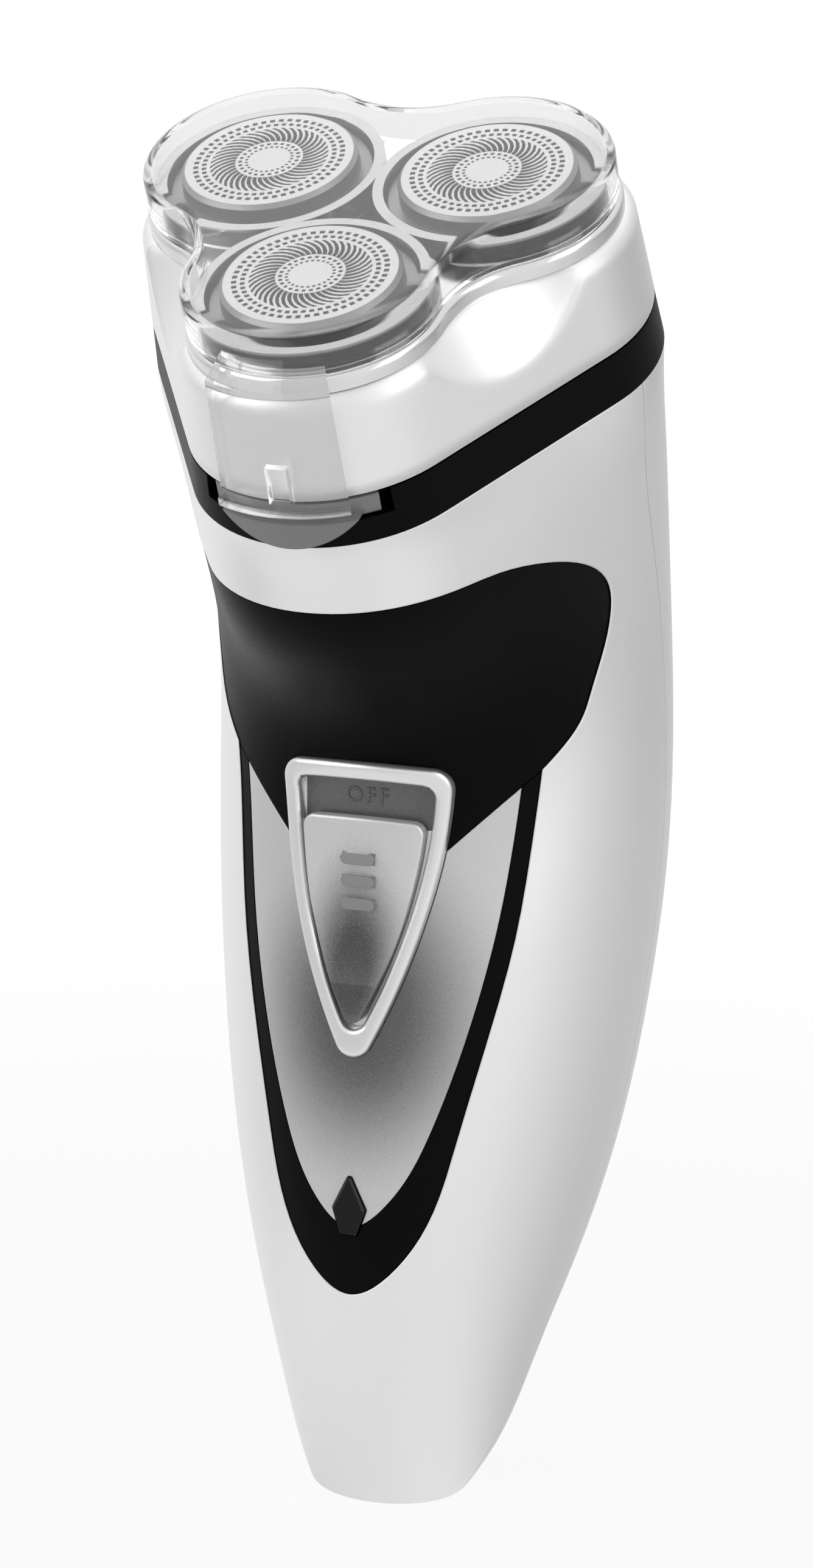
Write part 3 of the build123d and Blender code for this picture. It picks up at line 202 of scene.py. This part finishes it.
def bars_painted_shade(made, colour, bars, middle_z, pitch, length, height):
    """Darker lacquer on the grip bars of the slider, painted shade of their recesses, as many above a middle
    bar as below it.

    Sizes are in millimetres.
    """
    tree = made.node_tree
    shader = tree.nodes["Principled BSDF"]
    ground = shader.inputs["Base Color"].links[0].from_socket
    place = add_node(tree, "ShaderNodeTexCoord")
    axes = add_node(tree, "ShaderNodeSeparateXYZ", {}, {0: place.outputs["Object"]})
    on_length = add_node(
        tree, "ShaderNodeMath", {"operation": "COMPARE", 1: 0.0, 2: length / 2 * MM}, {0: axes.outputs["X"]}
    )
    in_row = add_node(
        tree,
        "ShaderNodeMath",
        {"operation": "COMPARE", 1: middle_z * MM, 2: bars / 2 * pitch * MM},
        {0: axes.outputs["Z"]},
    )
    rise = add_node(
        tree, "ShaderNodeMath", {"operation": "SUBTRACT", 1: middle_z * MM}, {0: axes.outputs["Z"]}
    )
    from_bar = add_node(
        tree, "ShaderNodeMath", {"operation": "PINGPONG", 1: pitch / 2 * MM}, {0: rise.outputs[0]}
    )
    on_height = add_node(
        tree, "ShaderNodeMath", {"operation": "LESS_THAN", 1: height / 2 * MM}, {0: from_bar.outputs[0]}
    )
    on_bar = add_node(
        tree,
        "ShaderNodeMath",
        {"operation": "MULTIPLY"},
        {0: on_length.outputs[0], 1: on_height.outputs[0]},
    )
    bar_share = add_node(
        tree, "ShaderNodeMath", {"operation": "MULTIPLY"}, {0: on_bar.outputs[0], 1: in_row.outputs[0]}
    )
    tint = add_node(
        tree,
        "ShaderNodeMix",
        {"data_type": "RGBA", MIX_SECOND: srgb(colour)},
        {MIX_SHARE: bar_share.outputs[0], MIX_FIRST: ground},
    )
    tree.links.new(tint.outputs[MIX_RESULT], shader.inputs["Base Color"])


def recess_paint(name, pale, floor_dark, floor_pale, half_width, low, high):
    """Silver lacquer on the frame of the switch; the floor with the mark stays dark and stippled.

    The floor reaches from low to high and half its width to either side, in millimetres.
    """
    made, tree, shader = surface(name, {"Coat Weight": 0.1, "Coat Roughness": 0.25})
    place, grain = grained(tree, shader, grain_mm=0.3, depth_mm=0.0015, edge_mm=0.4, rough=(0.27, 0.33))
    axes = add_node(tree, "ShaderNodeSeparateXYZ", {}, {0: place.outputs["Object"]})
    on_width = add_node(
        tree, "ShaderNodeMath", {"operation": "COMPARE", 1: 0.0, 2: half_width * MM}, {0: axes.outputs["X"]}
    )
    on_height = add_node(
        tree,
        "ShaderNodeMath",
        {"operation": "COMPARE", 1: (low + high) / 2 * MM, 2: (high - low) / 2 * MM},
        {0: axes.outputs["Z"]},
    )
    floor_share = add_node(
        tree,
        "ShaderNodeMath",
        {"operation": "MULTIPLY"},
        {0: on_width.outputs[0], 1: on_height.outputs[0]},
    )
    stipple = add_node(
        tree,
        "ShaderNodeMix",
        {"data_type": "RGBA", MIX_FIRST: srgb(floor_dark), MIX_SECOND: srgb(floor_pale)},
        {MIX_SHARE: grain.outputs["Fac"]},
    )
    tint = add_node(
        tree,
        "ShaderNodeMix",
        {"data_type": "RGBA", MIX_FIRST: srgb(pale)},
        {MIX_SHARE: floor_share.outputs[0], MIX_SECOND: stipple.outputs[MIX_RESULT]},
    )
    sheen = add_node(
        tree, "ShaderNodeMapRange", {"To Min": 0.8, "To Max": 0.0}, {"Value": floor_share.outputs[0]}
    )
    tree.links.new(tint.outputs[MIX_RESULT], shader.inputs["Base Color"])
    tree.links.new(sheen.outputs["Result"], shader.inputs["Metallic"])
    return made


def plating_in_shaded_bands(name, bands):
    """Metal plating whose colour changes along the head's axis, by levels in millimetres; its dark band is
    painted shade.
    """
    made, tree, shader = surface(name, {"Metallic": 1.0})
    place, _ = grained(tree, shader, grain_mm=0.5, depth_mm=0.001, edge_mm=0.1, rough=(0.12, 0.18))
    offset = add_node(
        tree,
        "ShaderNodeVectorMath",
        {"operation": "SUBTRACT", 1: HEAD_ORIGIN},
        {0: place.outputs["Object"]},
    )
    height = add_node(
        tree, "ShaderNodeVectorMath", {"operation": "DOT_PRODUCT", 1: HEAD_N}, {0: offset.outputs[0]}
    )
    lowest, highest = bands[0][0], bands[-1][0]
    share = add_node(
        tree,
        "ShaderNodeMapRange",
        {"From Min": lowest * MM, "From Max": highest * MM},
        {"Value": height.outputs["Value"]},
    )
    ramp = add_node(tree, "ShaderNodeValToRGB", {}, {"Fac": share.outputs["Result"]})
    stops = ramp.color_ramp.elements
    for level, _ in bands[1:-1]:
        stops.new((level - lowest) / (highest - lowest))
    for stop, (_, colour) in zip(stops, bands):
        stop.color = srgb(colour)
    tree.links.new(ramp.outputs["Color"], shader.inputs["Base Color"])
    return made


def moulded(name, colour, rough, grain_mm=0.25, depth_mm=0.008, gloss=0.5):
    """Moulded plastic: an even colour with the fine texture of the mould."""
    made, tree, shader = surface(name, {"Base Color": srgb(colour), "Specular IOR Level": gloss})
    grained(tree, shader, grain_mm, depth_mm, edge_mm=0.25, rough=rough)
    return made


def metal(name, colour, rough, grain_mm=0.2):
    """Bare or plated metal with a fine finish."""
    made, tree, shader = surface(name, {"Metallic": 1.0, "Base Color": srgb(colour)})
    grained(tree, shader, grain_mm, depth_mm=0.003, edge_mm=0.15, rough=rough)
    return made


def clear_moulding(name, tint):
    """Clear plastic with polished faces and faint flow marks.

    It bends light less than the real plastic, so that rounded edges stay clear; its coat gives the
    glints of the real one.
    """
    made, tree, shader = surface(
        name,
        {
            "Base Color": srgb(tint),
            "Transmission Weight": 1.0,
            "IOR": 1.2,
            "Coat Weight": 0.35,
            "Coat Roughness": 0.03,
            "Coat IOR": 1.55,
        },
    )
    grained(tree, shader, grain_mm=5.0, depth_mm=0.01, edge_mm=0.3, rough=(0.0, 0.02))
    return made


# Silver lacquer of the shells: pale, with an even satin sheen
silver_paint = flake_paint(
    "satin_silver_lacquer", dark="#e6e6e6", pale="#f2f2f2", rough=(0.28, 0.38), metallic=0.8, edge_mm=0.3
)
# Silver lacquer of the head: the same, a little duller, with broad edges where the scoops run out
housing_paint = flake_paint(
    "head_silver_lacquer", dark="#e6e6e6", pale="#f2f2f2", rough=(0.34, 0.42), metallic=0.85, edge_mm=2.5
)
# Silver lacquer of the switch frame: bright limbs round a dark, stippled floor
bezel_paint = recess_paint(
    "bezel_silver_lacquer",
    pale="#e8e8e8",
    floor_dark="#5c5c5c",
    floor_pale="#808080",
    half_width=8.5,
    low=90.0,
    high=95.9,
)
# Lacquer of the switch plate with painted shade: dark round the foot of the switch, paler towards its edges
plate_paint = lacquer_painted_shade(
    "plate_lacquer_painted_shade",
    dark="#646464",
    pale="#d4d4d4",
    near_mm=5,
    far_mm=24,
    middle_mm=(1, 67),
    stretch=(1.25, 0.95),
)
# Lacquer of the slider with painted shade: darkest in the lower part of the thumb hollow, and darker on its
# grip bars
slider_paint = lacquer_painted_shade(
    "slider_lacquer_painted_shade",
    dark="#525252",
    pale="#e0e0e0",
    near_mm=2,
    far_mm=11,
    middle_mm=(-0.3, 72.5),
    stretch=(1.3, 0.6),
)
bars_painted_shade(slider_paint, "#989898", bars=3, middle_z=83.6, pitch=2.9, length=4.4, height=1.5)
# Black ABS with a satin mould texture: deep black that hardly reflects
black_plastic = moulded("black_satin_abs", "#050505", rough=(0.36, 0.46), gloss=0.06)
# Grey ABS of the release button: a plain mid grey with a soft sheen
button_plastic = moulded("grey_satin_abs", "#8a8a8a", rough=(0.36, 0.46))
# Dark ABS of the plates, frame and knob inside: a dull dark grey
dark_plastic = moulded("dark_moulded_abs", "#2b2b2b", rough=(0.45, 0.55))
# Natural acetal of the gears: creamy and a little waxy
gear_plastic = moulded("natural_acetal", "#e2dfd2", rough=(0.38, 0.48))
# Glass-epoxy board: green resist with a slight shine
board_laminate = moulded("glass_epoxy_board", "#1f5a34", rough=(0.32, 0.42), grain_mm=0.4)
# Shrink sleeve of the cells: smooth green film with a soft gloss
cell_sleeve = moulded("shrink_sleeve", "#3f7a4d", rough=(0.25, 0.33), grain_mm=0.5, depth_mm=0.004)
# Cast epoxy of the lamp: pale green and glossy
lamp_plastic = moulded("lamp_epoxy", "#7fc98a", rough=(0.2, 0.3), grain_mm=0.5, depth_mm=0.003)
# Smoked acrylic of the window: near black with a polished face
window_plastic = moulded(
    "smoked_acrylic", "#0a0a0a", rough=(0.10, 0.16), grain_mm=1.5, depth_mm=0.001, gloss=0.2
)
# Nickel plating of the rim: bright on its step, with painted shade as a dark band on the low walls of its
# bosses, grey on their tops
rim_plating_painted_shade = plating_in_shaded_bands(
    "nickel_plating_painted_shade",
    (
        (-6.0, "#dcdcdc"),
        (-3.85, "#dcdcdc"),
        (-3.6, "#585858"),
        (-1.7, "#585858"),
        (-1.3, "#b2b2b2"),
        (-1.0, "#b2b2b2"),
    ),
)
# Stainless steel of the comb faces: finely ground, with a soft bright sheen
comb_steel = metal("satin_stainless_steel", "#c8c8c8", rough=(0.28, 0.38), grain_mm=0.12)
# Steel of the comb skirts: duller than the faces, and darker with painted shade
skirt_steel_painted_shade = metal("comb_skirt_painted_shade", "#8c8c8c", rough=(0.34, 0.44), grain_mm=0.12)
# Steel of the cutters, painted near black as the shade behind the slots of the combs
cutter_steel_painted_shade = metal("blade_steel_painted_shade", "#131313", rough=(0.36, 0.46), grain_mm=0.12)
# Zinc-plated steel of plain fittings: pale grey with a soft shine
plain_steel = metal("zinc_plated_steel", "#bdbdbd", rough=(0.28, 0.38))
# Nickel strip of tabs and pins: bright with a warm cast
nickel = metal("nickel_strip", "#c6c1b4", rough=(0.25, 0.35))
# Turned brass of the pinion: yellow with a clean shine
brass = metal("turned_brass", "#c9a45a", rough=(0.22, 0.32))
# Clear polystyrene of the cap: seen through, with glints along its edges
cap_plastic = clear_moulding("clear_polystyrene", "#f0f0f0")

# The finish of each solid
FINISHES = {
    silver_paint: ["front_shell", "back_shell"],
    housing_paint: ["head_housing"],
    plate_paint: ["switch_plate"],
    bezel_paint: ["switch_bezel"],
    slider_paint: ["power_slider"],
    button_plastic: ["release_button"],
    black_plastic: [
        "grip_panel",
        "trim_frame",
        "collar_band",
        "switch_actuator",
        "slide_switch",
        "charging_inlet",
    ],
    dark_plastic: ["drive_deck", "gear_plate", "cutter_frame", "lock_knob"],
    gear_plastic: [f"drive_{kind}_{name}" for kind in ("gear", "spindle") for name in HEAD_TURNS],
    board_laminate: ["circuit_board"],
    cell_sleeve: ["battery_left", "battery_right"],
    lamp_plastic: ["indicator_led"],
    rim_plating_painted_shade: ["head_rim"],
    comb_steel: [f"comb_{name}" for name in HEAD_TURNS],
    cutter_steel_painted_shade: [f"cutter_{name}" for name in HEAD_TURNS],
    plain_steel: [
        "shell_screws",
        "deck_screws",
        "hinge_pin",
        "gear_axles",
        "release_spring",
        "drive_motor",
    ],
    nickel: ["battery_tabs", "inlet_pins"],
    brass: ["motor_pinion"],
    cap_plastic: ["head_cap"],
    window_plastic: ["indicator_lens"],
}

# Shading: edges sharper than this angle stay sharp, and corners nearer than this distance are one
SHARP_ANGLE = radians(28)
JOIN_DISTANCE = 0.002 * MM


def smoothing_group():
    """Joins the faces of a solid and shades them smooth, apart from its sharp edges."""
    group = bpy.data.node_groups.new("smooth_faces", "GeometryNodeTree")
    for direction in ("INPUT", "OUTPUT"):
        group.interface.new_socket("Geometry", in_out=direction, socket_type="NodeSocketGeometry")
    start = add_node(group, "NodeGroupInput")
    plain = add_node(
        group, "GeometryNodeRemoveAttribute", {"Name": "custom_normal"}, {"Geometry": start.outputs[0]}
    )
    joined = add_node(
        group, "GeometryNodeMergeByDistance", {"Distance": JOIN_DISTANCE}, {"Geometry": plain.outputs[0]}
    )
    smooth = add_node(group, "GeometryNodeSetShadeSmooth", {}, {"Geometry": joined.outputs[0]})
    bend = add_node(group, "GeometryNodeInputMeshEdgeAngle")
    sharp = add_node(
        group,
        "FunctionNodeCompare",
        {"data_type": "FLOAT", "operation": "GREATER_THAN", 1: SHARP_ANGLE},
        {0: bend.outputs["Unsigned Angle"]},
    )
    edged = add_node(
        group,
        "GeometryNodeSetShadeSmooth",
        {"domain": "EDGE", "Shade Smooth": False},
        {"Geometry": smooth.outputs[0], "Selection": sharp.outputs[0]},
    )
    add_node(group, "NodeGroupOutput", {}, {0: edged.outputs[0]})
    return group


smooth_faces = smoothing_group()


def dress(piece, finish):
    """Gives a piece its finish and the smooth shading of its faces."""
    piece.data.materials.clear()
    piece.data.materials.append(finish)
    piece.modifiers.new("smooth_faces", "NODES").node_group = smooth_faces


for finish, names in FINISHES.items():
    for name in names:
        dress(nodes[name], finish)


def add_piece(name, mesh, finish, body):
    """A scene piece of a mesh, with its finish, that rides on a body."""
    piece = bpy.data.objects.new(name, mesh)
    scene.collection.objects.link(piece)
    dress(piece, finish)
    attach(piece, body)
    return piece


def curve_mesh(curve):
    """Mesh of a flat curve or of letters."""
    holder = bpy.data.objects.new(curve.name, curve)
    scene.collection.objects.link(holder)
    bpy.context.view_layer.update()
    mesh = bpy.data.meshes.new_from_object(holder.evaluated_get(bpy.context.evaluated_depsgraph_get()))
    bpy.data.objects.remove(holder)
    return mesh


# Straight steps in a full turn of round scene pieces
ROUND_STEPS = 96


def turned_mesh(profile):
    """Closed profile of radius and level, in millimetres, turned about its axis."""
    shape = bmesh.new()
    rings = []
    for step in range(ROUND_STEPS):
        turn = 360 * step / ROUND_STEPS
        rings.append([shape.verts.new((*polar(reach, turn), level)) for reach, level in profile])
    for step in range(ROUND_STEPS):
        here, there = rings[step], rings[(step + 1) % ROUND_STEPS]
        for low in range(len(profile)):
            high = (low + 1) % len(profile)
            shape.faces.new((here[low], there[low], there[high], here[high]))
    bmesh.ops.recalc_face_normals(shape, faces=shape.faces)
    mesh = bpy.data.meshes.new("turned")
    shape.to_mesh(mesh)
    shape.free()
    return mesh


def filled_mesh(outlines, thickness):
    """Flat plate of the first outline, pierced by the others; its face lies at level 0."""
    sheet = bpy.data.curves.new("sheet", "CURVE")
    sheet.dimensions = "2D"
    sheet.fill_mode = "BOTH"
    sheet.extrude = thickness / 2
    for outline in outlines:
        line = sheet.splines.new("POLY")
        line.points.add(len(outline) - 1)
        for point, (x, y) in zip(line.points, outline):
            point.co = (x, y, 0, 1)
        line.use_cyclic_u = True
    mesh = curve_mesh(sheet)
    mesh.transform(Matrix.Translation((0, 0, -thickness / 2)))
    return mesh


# Comb, in millimetres: a plain middle, then rows of small holes with a ring of curved slots between them.
# A slot steps outwards by reach and by swirl in degrees. A row of holes has its reach, its count, half the
# width of a hole, and a shift as a share of the spacing
COMB_FACE_R = 10.3
COMB_SKIN = 0.6
COMB_SKIRT = (
    (COMB_FACE_R, 0.0),
    (10.8, -0.5),
    (10.8, -2.4),
    (12.2, -2.4),
    (12.2, -6.1),
    (12.95, -6.1),
    (12.95, -7.2),
    (10.0, -7.2),
    (10.0, -COMB_SKIN),
)
SLOTS = 42
SLOT_STEPS = ((4.15, 0.0), (4.9, 2.6), (5.7, 7.2), (6.5, 13.2), (7.2, 20.0))
SLOT_HALF = 0.26
HOLE_ROWS = ((2.8, 26, 0.17, 0.5), (3.55, 26, 0.22, 0.0), (7.95, 52, 0.27, 0.0), (8.95, 52, 0.3, 0.5))


def comb_outlines():
    """Outer edge of the comb face, then every slot and hole."""
    outlines = [[polar(COMB_FACE_R, 360 * step / ROUND_STEPS) for step in range(ROUND_STEPS)]]
    for slot in range(SLOTS):
        turn = 360 * slot / SLOTS
        near = [polar(reach, turn + swirl - degrees(SLOT_HALF / reach)) for reach, swirl in SLOT_STEPS]
        far = [polar(reach, turn + swirl + degrees(SLOT_HALF / reach)) for reach, swirl in SLOT_STEPS]
        outlines.append(near + far[::-1])
    for reach, count, half, shift in HOLE_ROWS:
        for hole in range(count):
            turn = 360 * (hole + shift) / count
            span = degrees(half / reach)
            corners = ((-half, -span), (half, -span), (half, span), (-half, span))
            outlines.append([polar(reach + out, turn + side) for out, side in corners])
    return outlines


for name, turn in HEAD_TURNS.items():
    place = head_matrix(*polar(HEAD_PITCH, turn)) @ Matrix.Scale(MM, 4)
    plate = filled_mesh(comb_outlines(), COMB_SKIN)
    skirt = turned_mesh(COMB_SKIRT)
    for kind, mesh, finish in (("face", plate, comb_steel), ("skirt", skirt, skirt_steel_painted_shade)):
        mesh.transform(place)
        piece = add_piece(f"comb_{kind}_{name}", mesh, finish, f"float_{name}")
        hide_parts(f"comb_{name}")

# OFF mark, in millimetres: raised letters on the floor of the switch recess, laid on its curve from in front
MARK_HEIGHT = 2.0
MARK_RISE = 0.16
MARK_MIDDLE_Z = 93.9
IN_FRONT_Y = -40.0
# Height of a capital as a share of the type size, and how much wider than usual the letters are set
CAPITAL_SHARE = 0.7
MARK_SPACING = 1.25


def switch_mark(word):
    """Raised letters that follow the floor of the recess."""
    letters = bpy.data.curves.new(word, "FONT")
    letters.body = word
    letters.align_x = "CENTER"
    letters.align_y = "CENTER"
    letters.size = MARK_HEIGHT / CAPITAL_SHARE
    letters.space_character = MARK_SPACING
    letters.resolution_u = 3
    letters.extrude = MARK_RISE
    mesh = curve_mesh(letters)
    bezel = nodes["switch_bezel"].data
    recess = BVHTree.FromPolygons([v.co for v in bezel.vertices], [p.vertices for p in bezel.polygons])
    for vertex in mesh.vertices:
        across, up, out = vertex.co
        start = Vector((across, IN_FRONT_Y, MARK_MIDDLE_Z + up)) * MM
        hit = recess.ray_cast(start, Vector((0, 1, 0)))[0]
        vertex.co = hit + Vector((0, -out * MM, 0))
    return mesh


add_piece("off_mark", switch_mark("OFF"), bezel_paint, "handle")

# Background: white to look at and through clear plastic. In gloss it is two white walls, right of
# the front and left of the back, with dimmer ends between them that give the silver its soft bands
WALL_AXIS = Vector((0.766, -0.643, 0.0))
END_DIM = 0.18
WHITE = srgb("#ffffff")


def background_strength(tree, direction, dim_share):
    """Strength of the white background for each kind of ray, dimmed in gloss at the studio's ends."""
    rays = add_node(tree, "ShaderNodeLightPath")
    flat = add_node(tree, "ShaderNodeVectorMath", {"operation": "MULTIPLY", 1: (1, 1, 0)}, {0: direction})
    outward = add_node(tree, "ShaderNodeVectorMath", {"operation": "NORMALIZE"}, {0: flat.outputs[0]})
    facing = add_node(
        tree, "ShaderNodeVectorMath", {"operation": "DOT_PRODUCT", 1: WALL_AXIS}, {0: outward.outputs[0]}
    )
    wall_share = add_node(
        tree, "ShaderNodeMath", {"operation": "POWER", 1: 2.0}, {0: facing.outputs["Value"]}
    )
    end_share = add_node(
        tree,
        "ShaderNodeMapRange",
        {"To Min": 1.0 - END_DIM, "To Max": 0.0},
        {"Value": wall_share.outputs[0]},
    )
    dimming = add_node(
        tree, "ShaderNodeMath", {"operation": "MULTIPLY"}, {0: end_share.outputs["Result"], 1: dim_share}
    )
    dimmed = add_node(tree, "ShaderNodeMath", {"operation": "SUBTRACT", 0: 1.0}, {1: dimming.outputs[0]})
    in_gloss = add_node(
        tree,
        "ShaderNodeMath",
        {"operation": "MULTIPLY"},
        {0: dimmed.outputs[0], 1: rays.outputs["Is Glossy Ray"]},
    )
    plain = add_node(
        tree,
        "ShaderNodeMath",
        {"operation": "MAXIMUM"},
        {0: rays.outputs["Is Camera Ray"], 1: rays.outputs["Is Transmission Ray"]},
    )
    strength = add_node(
        tree, "ShaderNodeMath", {"operation": "MAXIMUM"}, {0: plain.outputs[0], 1: in_gloss.outputs[0]}
    )
    return strength.outputs[0]


# Floor, in millimetres: it glows white, but a little less near the part, where a faint shadow shows.
# In gloss it stays white round a spot left of the front, and dims away from it
FLOOR_SIZE = 40000
SHADOW_NEAR = 100
SHADOW_FAR = 330
NEAR_GLOW = 0.9
BRIGHT_SPOT = (-50, -90, 0)
DARK_NEAR = 50
DARK_FAR = 150


def floor_finish():
    """White paper of the floor: plain and dull, and lost in the background away from the part."""
    made, tree, shader = surface("white_floor", {"Base Color": srgb("#f2f2f2"), "Roughness": 0.9})
    place = add_node(tree, "ShaderNodeNewGeometry").outputs["Position"]
    reach = add_node(tree, "ShaderNodeVectorMath", {"operation": "LENGTH"}, {0: place})
    far_share = add_node(
        tree,
        "ShaderNodeMapRange",
        {
            "interpolation_type": "SMOOTHSTEP",
            "From Min": SHADOW_NEAR * MM,
            "From Max": SHADOW_FAR * MM,
            "To Min": NEAR_GLOW,
        },
        {"Value": reach.outputs["Value"]},
    )
    from_spot = add_node(
        tree,
        "ShaderNodeVectorMath",
        {"operation": "DISTANCE", 1: Vector(BRIGHT_SPOT) * MM},
        {0: place},
    )
    dark_share = add_node(
        tree,
        "ShaderNodeMapRange",
        {"interpolation_type": "SMOOTHSTEP", "From Min": DARK_NEAR * MM, "From Max": DARK_FAR * MM},
        {"Value": from_spot.outputs["Value"]},
    )
    strength = background_strength(tree, place, dark_share.outputs["Result"])
    glow_share = add_node(
        tree, "ShaderNodeMath", {"operation": "MULTIPLY"}, {0: far_share.outputs["Result"], 1: strength}
    )
    glow = add_node(tree, "ShaderNodeEmission", {"Color": WHITE, "Strength": 1.0})
    mixed = add_node(
        tree,
        "ShaderNodeMixShader",
        {},
        {0: glow_share.outputs[0], 1: shader.outputs[0], 2: glow.outputs[0]},
    )
    tree.links.new(mixed.outputs[0], tree.nodes["Material Output"].inputs["Surface"])
    return made


bpy.ops.mesh.primitive_plane_add(size=FLOOR_SIZE * MM, location=(0, 0, 0))
floor = bpy.context.object
floor.name = "studio_floor"
floor.data.materials.append(floor_finish())

# Softboxes that face the part: place and size in millimetres, power in watts
LIGHT_AIM = Vector((0, 0, 90)) * MM
SOFTBOXES = {
    "key_left": ((-800, -850, 700), (900, 900), 4.5),
    "side_right": ((900, -300, 500), (500, 900), 2.5),
    "top": ((-250, 300, 1000), (900, 700), 1.7),
}
for name, (place, size, power) in SOFTBOXES.items():
    lamp = bpy.data.lights.new(name, "AREA")
    lamp.shape = "RECTANGLE"
    lamp.size, lamp.size_y = [side * MM for side in size]
    lamp.energy = power
    holder = bpy.data.objects.new(name, lamp)
    scene.collection.objects.link(holder)
    holder.location = Vector(place) * MM
    holder.rotation_euler = (LIGHT_AIM - holder.location).to_track_quat("-Z", "Y").to_euler()

# Surroundings: a dimmer light round the part than the white that shows. In gloss the ends are dim
# low down and turn white towards this height, as a share of straight up
AROUND_STRENGTH = 0.3
DIM_HEIGHT = 0.5


def light_surroundings():
    """World of the studio."""
    world = bpy.data.worlds.new("studio")
    scene.world = world
    world.use_nodes = True
    sky = world.node_tree
    sky.nodes.clear()
    outward = add_node(sky, "ShaderNodeTexCoord").outputs["Generated"]
    axes = add_node(sky, "ShaderNodeSeparateXYZ", {}, {0: outward})
    low_share = add_node(
        sky,
        "ShaderNodeMapRange",
        {"interpolation_type": "SMOOTHSTEP", "From Max": DIM_HEIGHT, "To Min": 1.0, "To Max": 0.0},
        {"Value": axes.outputs["Z"]},
    )
    strength = background_strength(sky, outward, low_share.outputs["Result"])
    around = add_node(sky, "ShaderNodeBackground", {"Color": WHITE, "Strength": AROUND_STRENGTH})
    behind = add_node(sky, "ShaderNodeBackground", {"Color": WHITE, "Strength": 1.0})
    mixed = add_node(
        sky, "ShaderNodeMixShader", {}, {0: strength, 1: around.outputs[0], 2: behind.outputs[0]}
    )
    add_node(sky, "ShaderNodeOutputWorld", {}, {"Surface": mixed.outputs[0]})


light_surroundings()
scene.view_settings.view_transform = "Standard"

# Camera at the photograph's viewing angle; its lens and sensor in millimetres
VIEW_TURN = radians(19.94)
VIEW_RISE = radians(11.40)
VIEW_ROLL = radians(1.5)
VIEW_AIM = Vector((0, -3.25, 92.83)) * MM
VIEW_DISTANCE = 548.3 * MM
FOCAL_LENGTH = 99.85
SENSOR_WIDTH = 36
back = Vector((sin(VIEW_TURN) * cos(VIEW_RISE), -cos(VIEW_TURN) * cos(VIEW_RISE), sin(VIEW_RISE)))
level = Vector((cos(VIEW_TURN), sin(VIEW_TURN), 0))
upright = back.cross(level)
right = level * cos(VIEW_ROLL) + upright * sin(VIEW_ROLL)
up = upright * cos(VIEW_ROLL) - level * sin(VIEW_ROLL)
lens = bpy.data.cameras.new("camera")
lens.sensor_width = SENSOR_WIDTH
lens.lens = FOCAL_LENGTH
camera = bpy.data.objects.new("camera", lens)
scene.collection.objects.link(camera)
turn_to_view = Matrix((right, up, back)).transposed().to_4x4()
camera.matrix_world = Matrix.Translation(VIEW_AIM + back * VIEW_DISTANCE) @ turn_to_view
scene.camera = camera
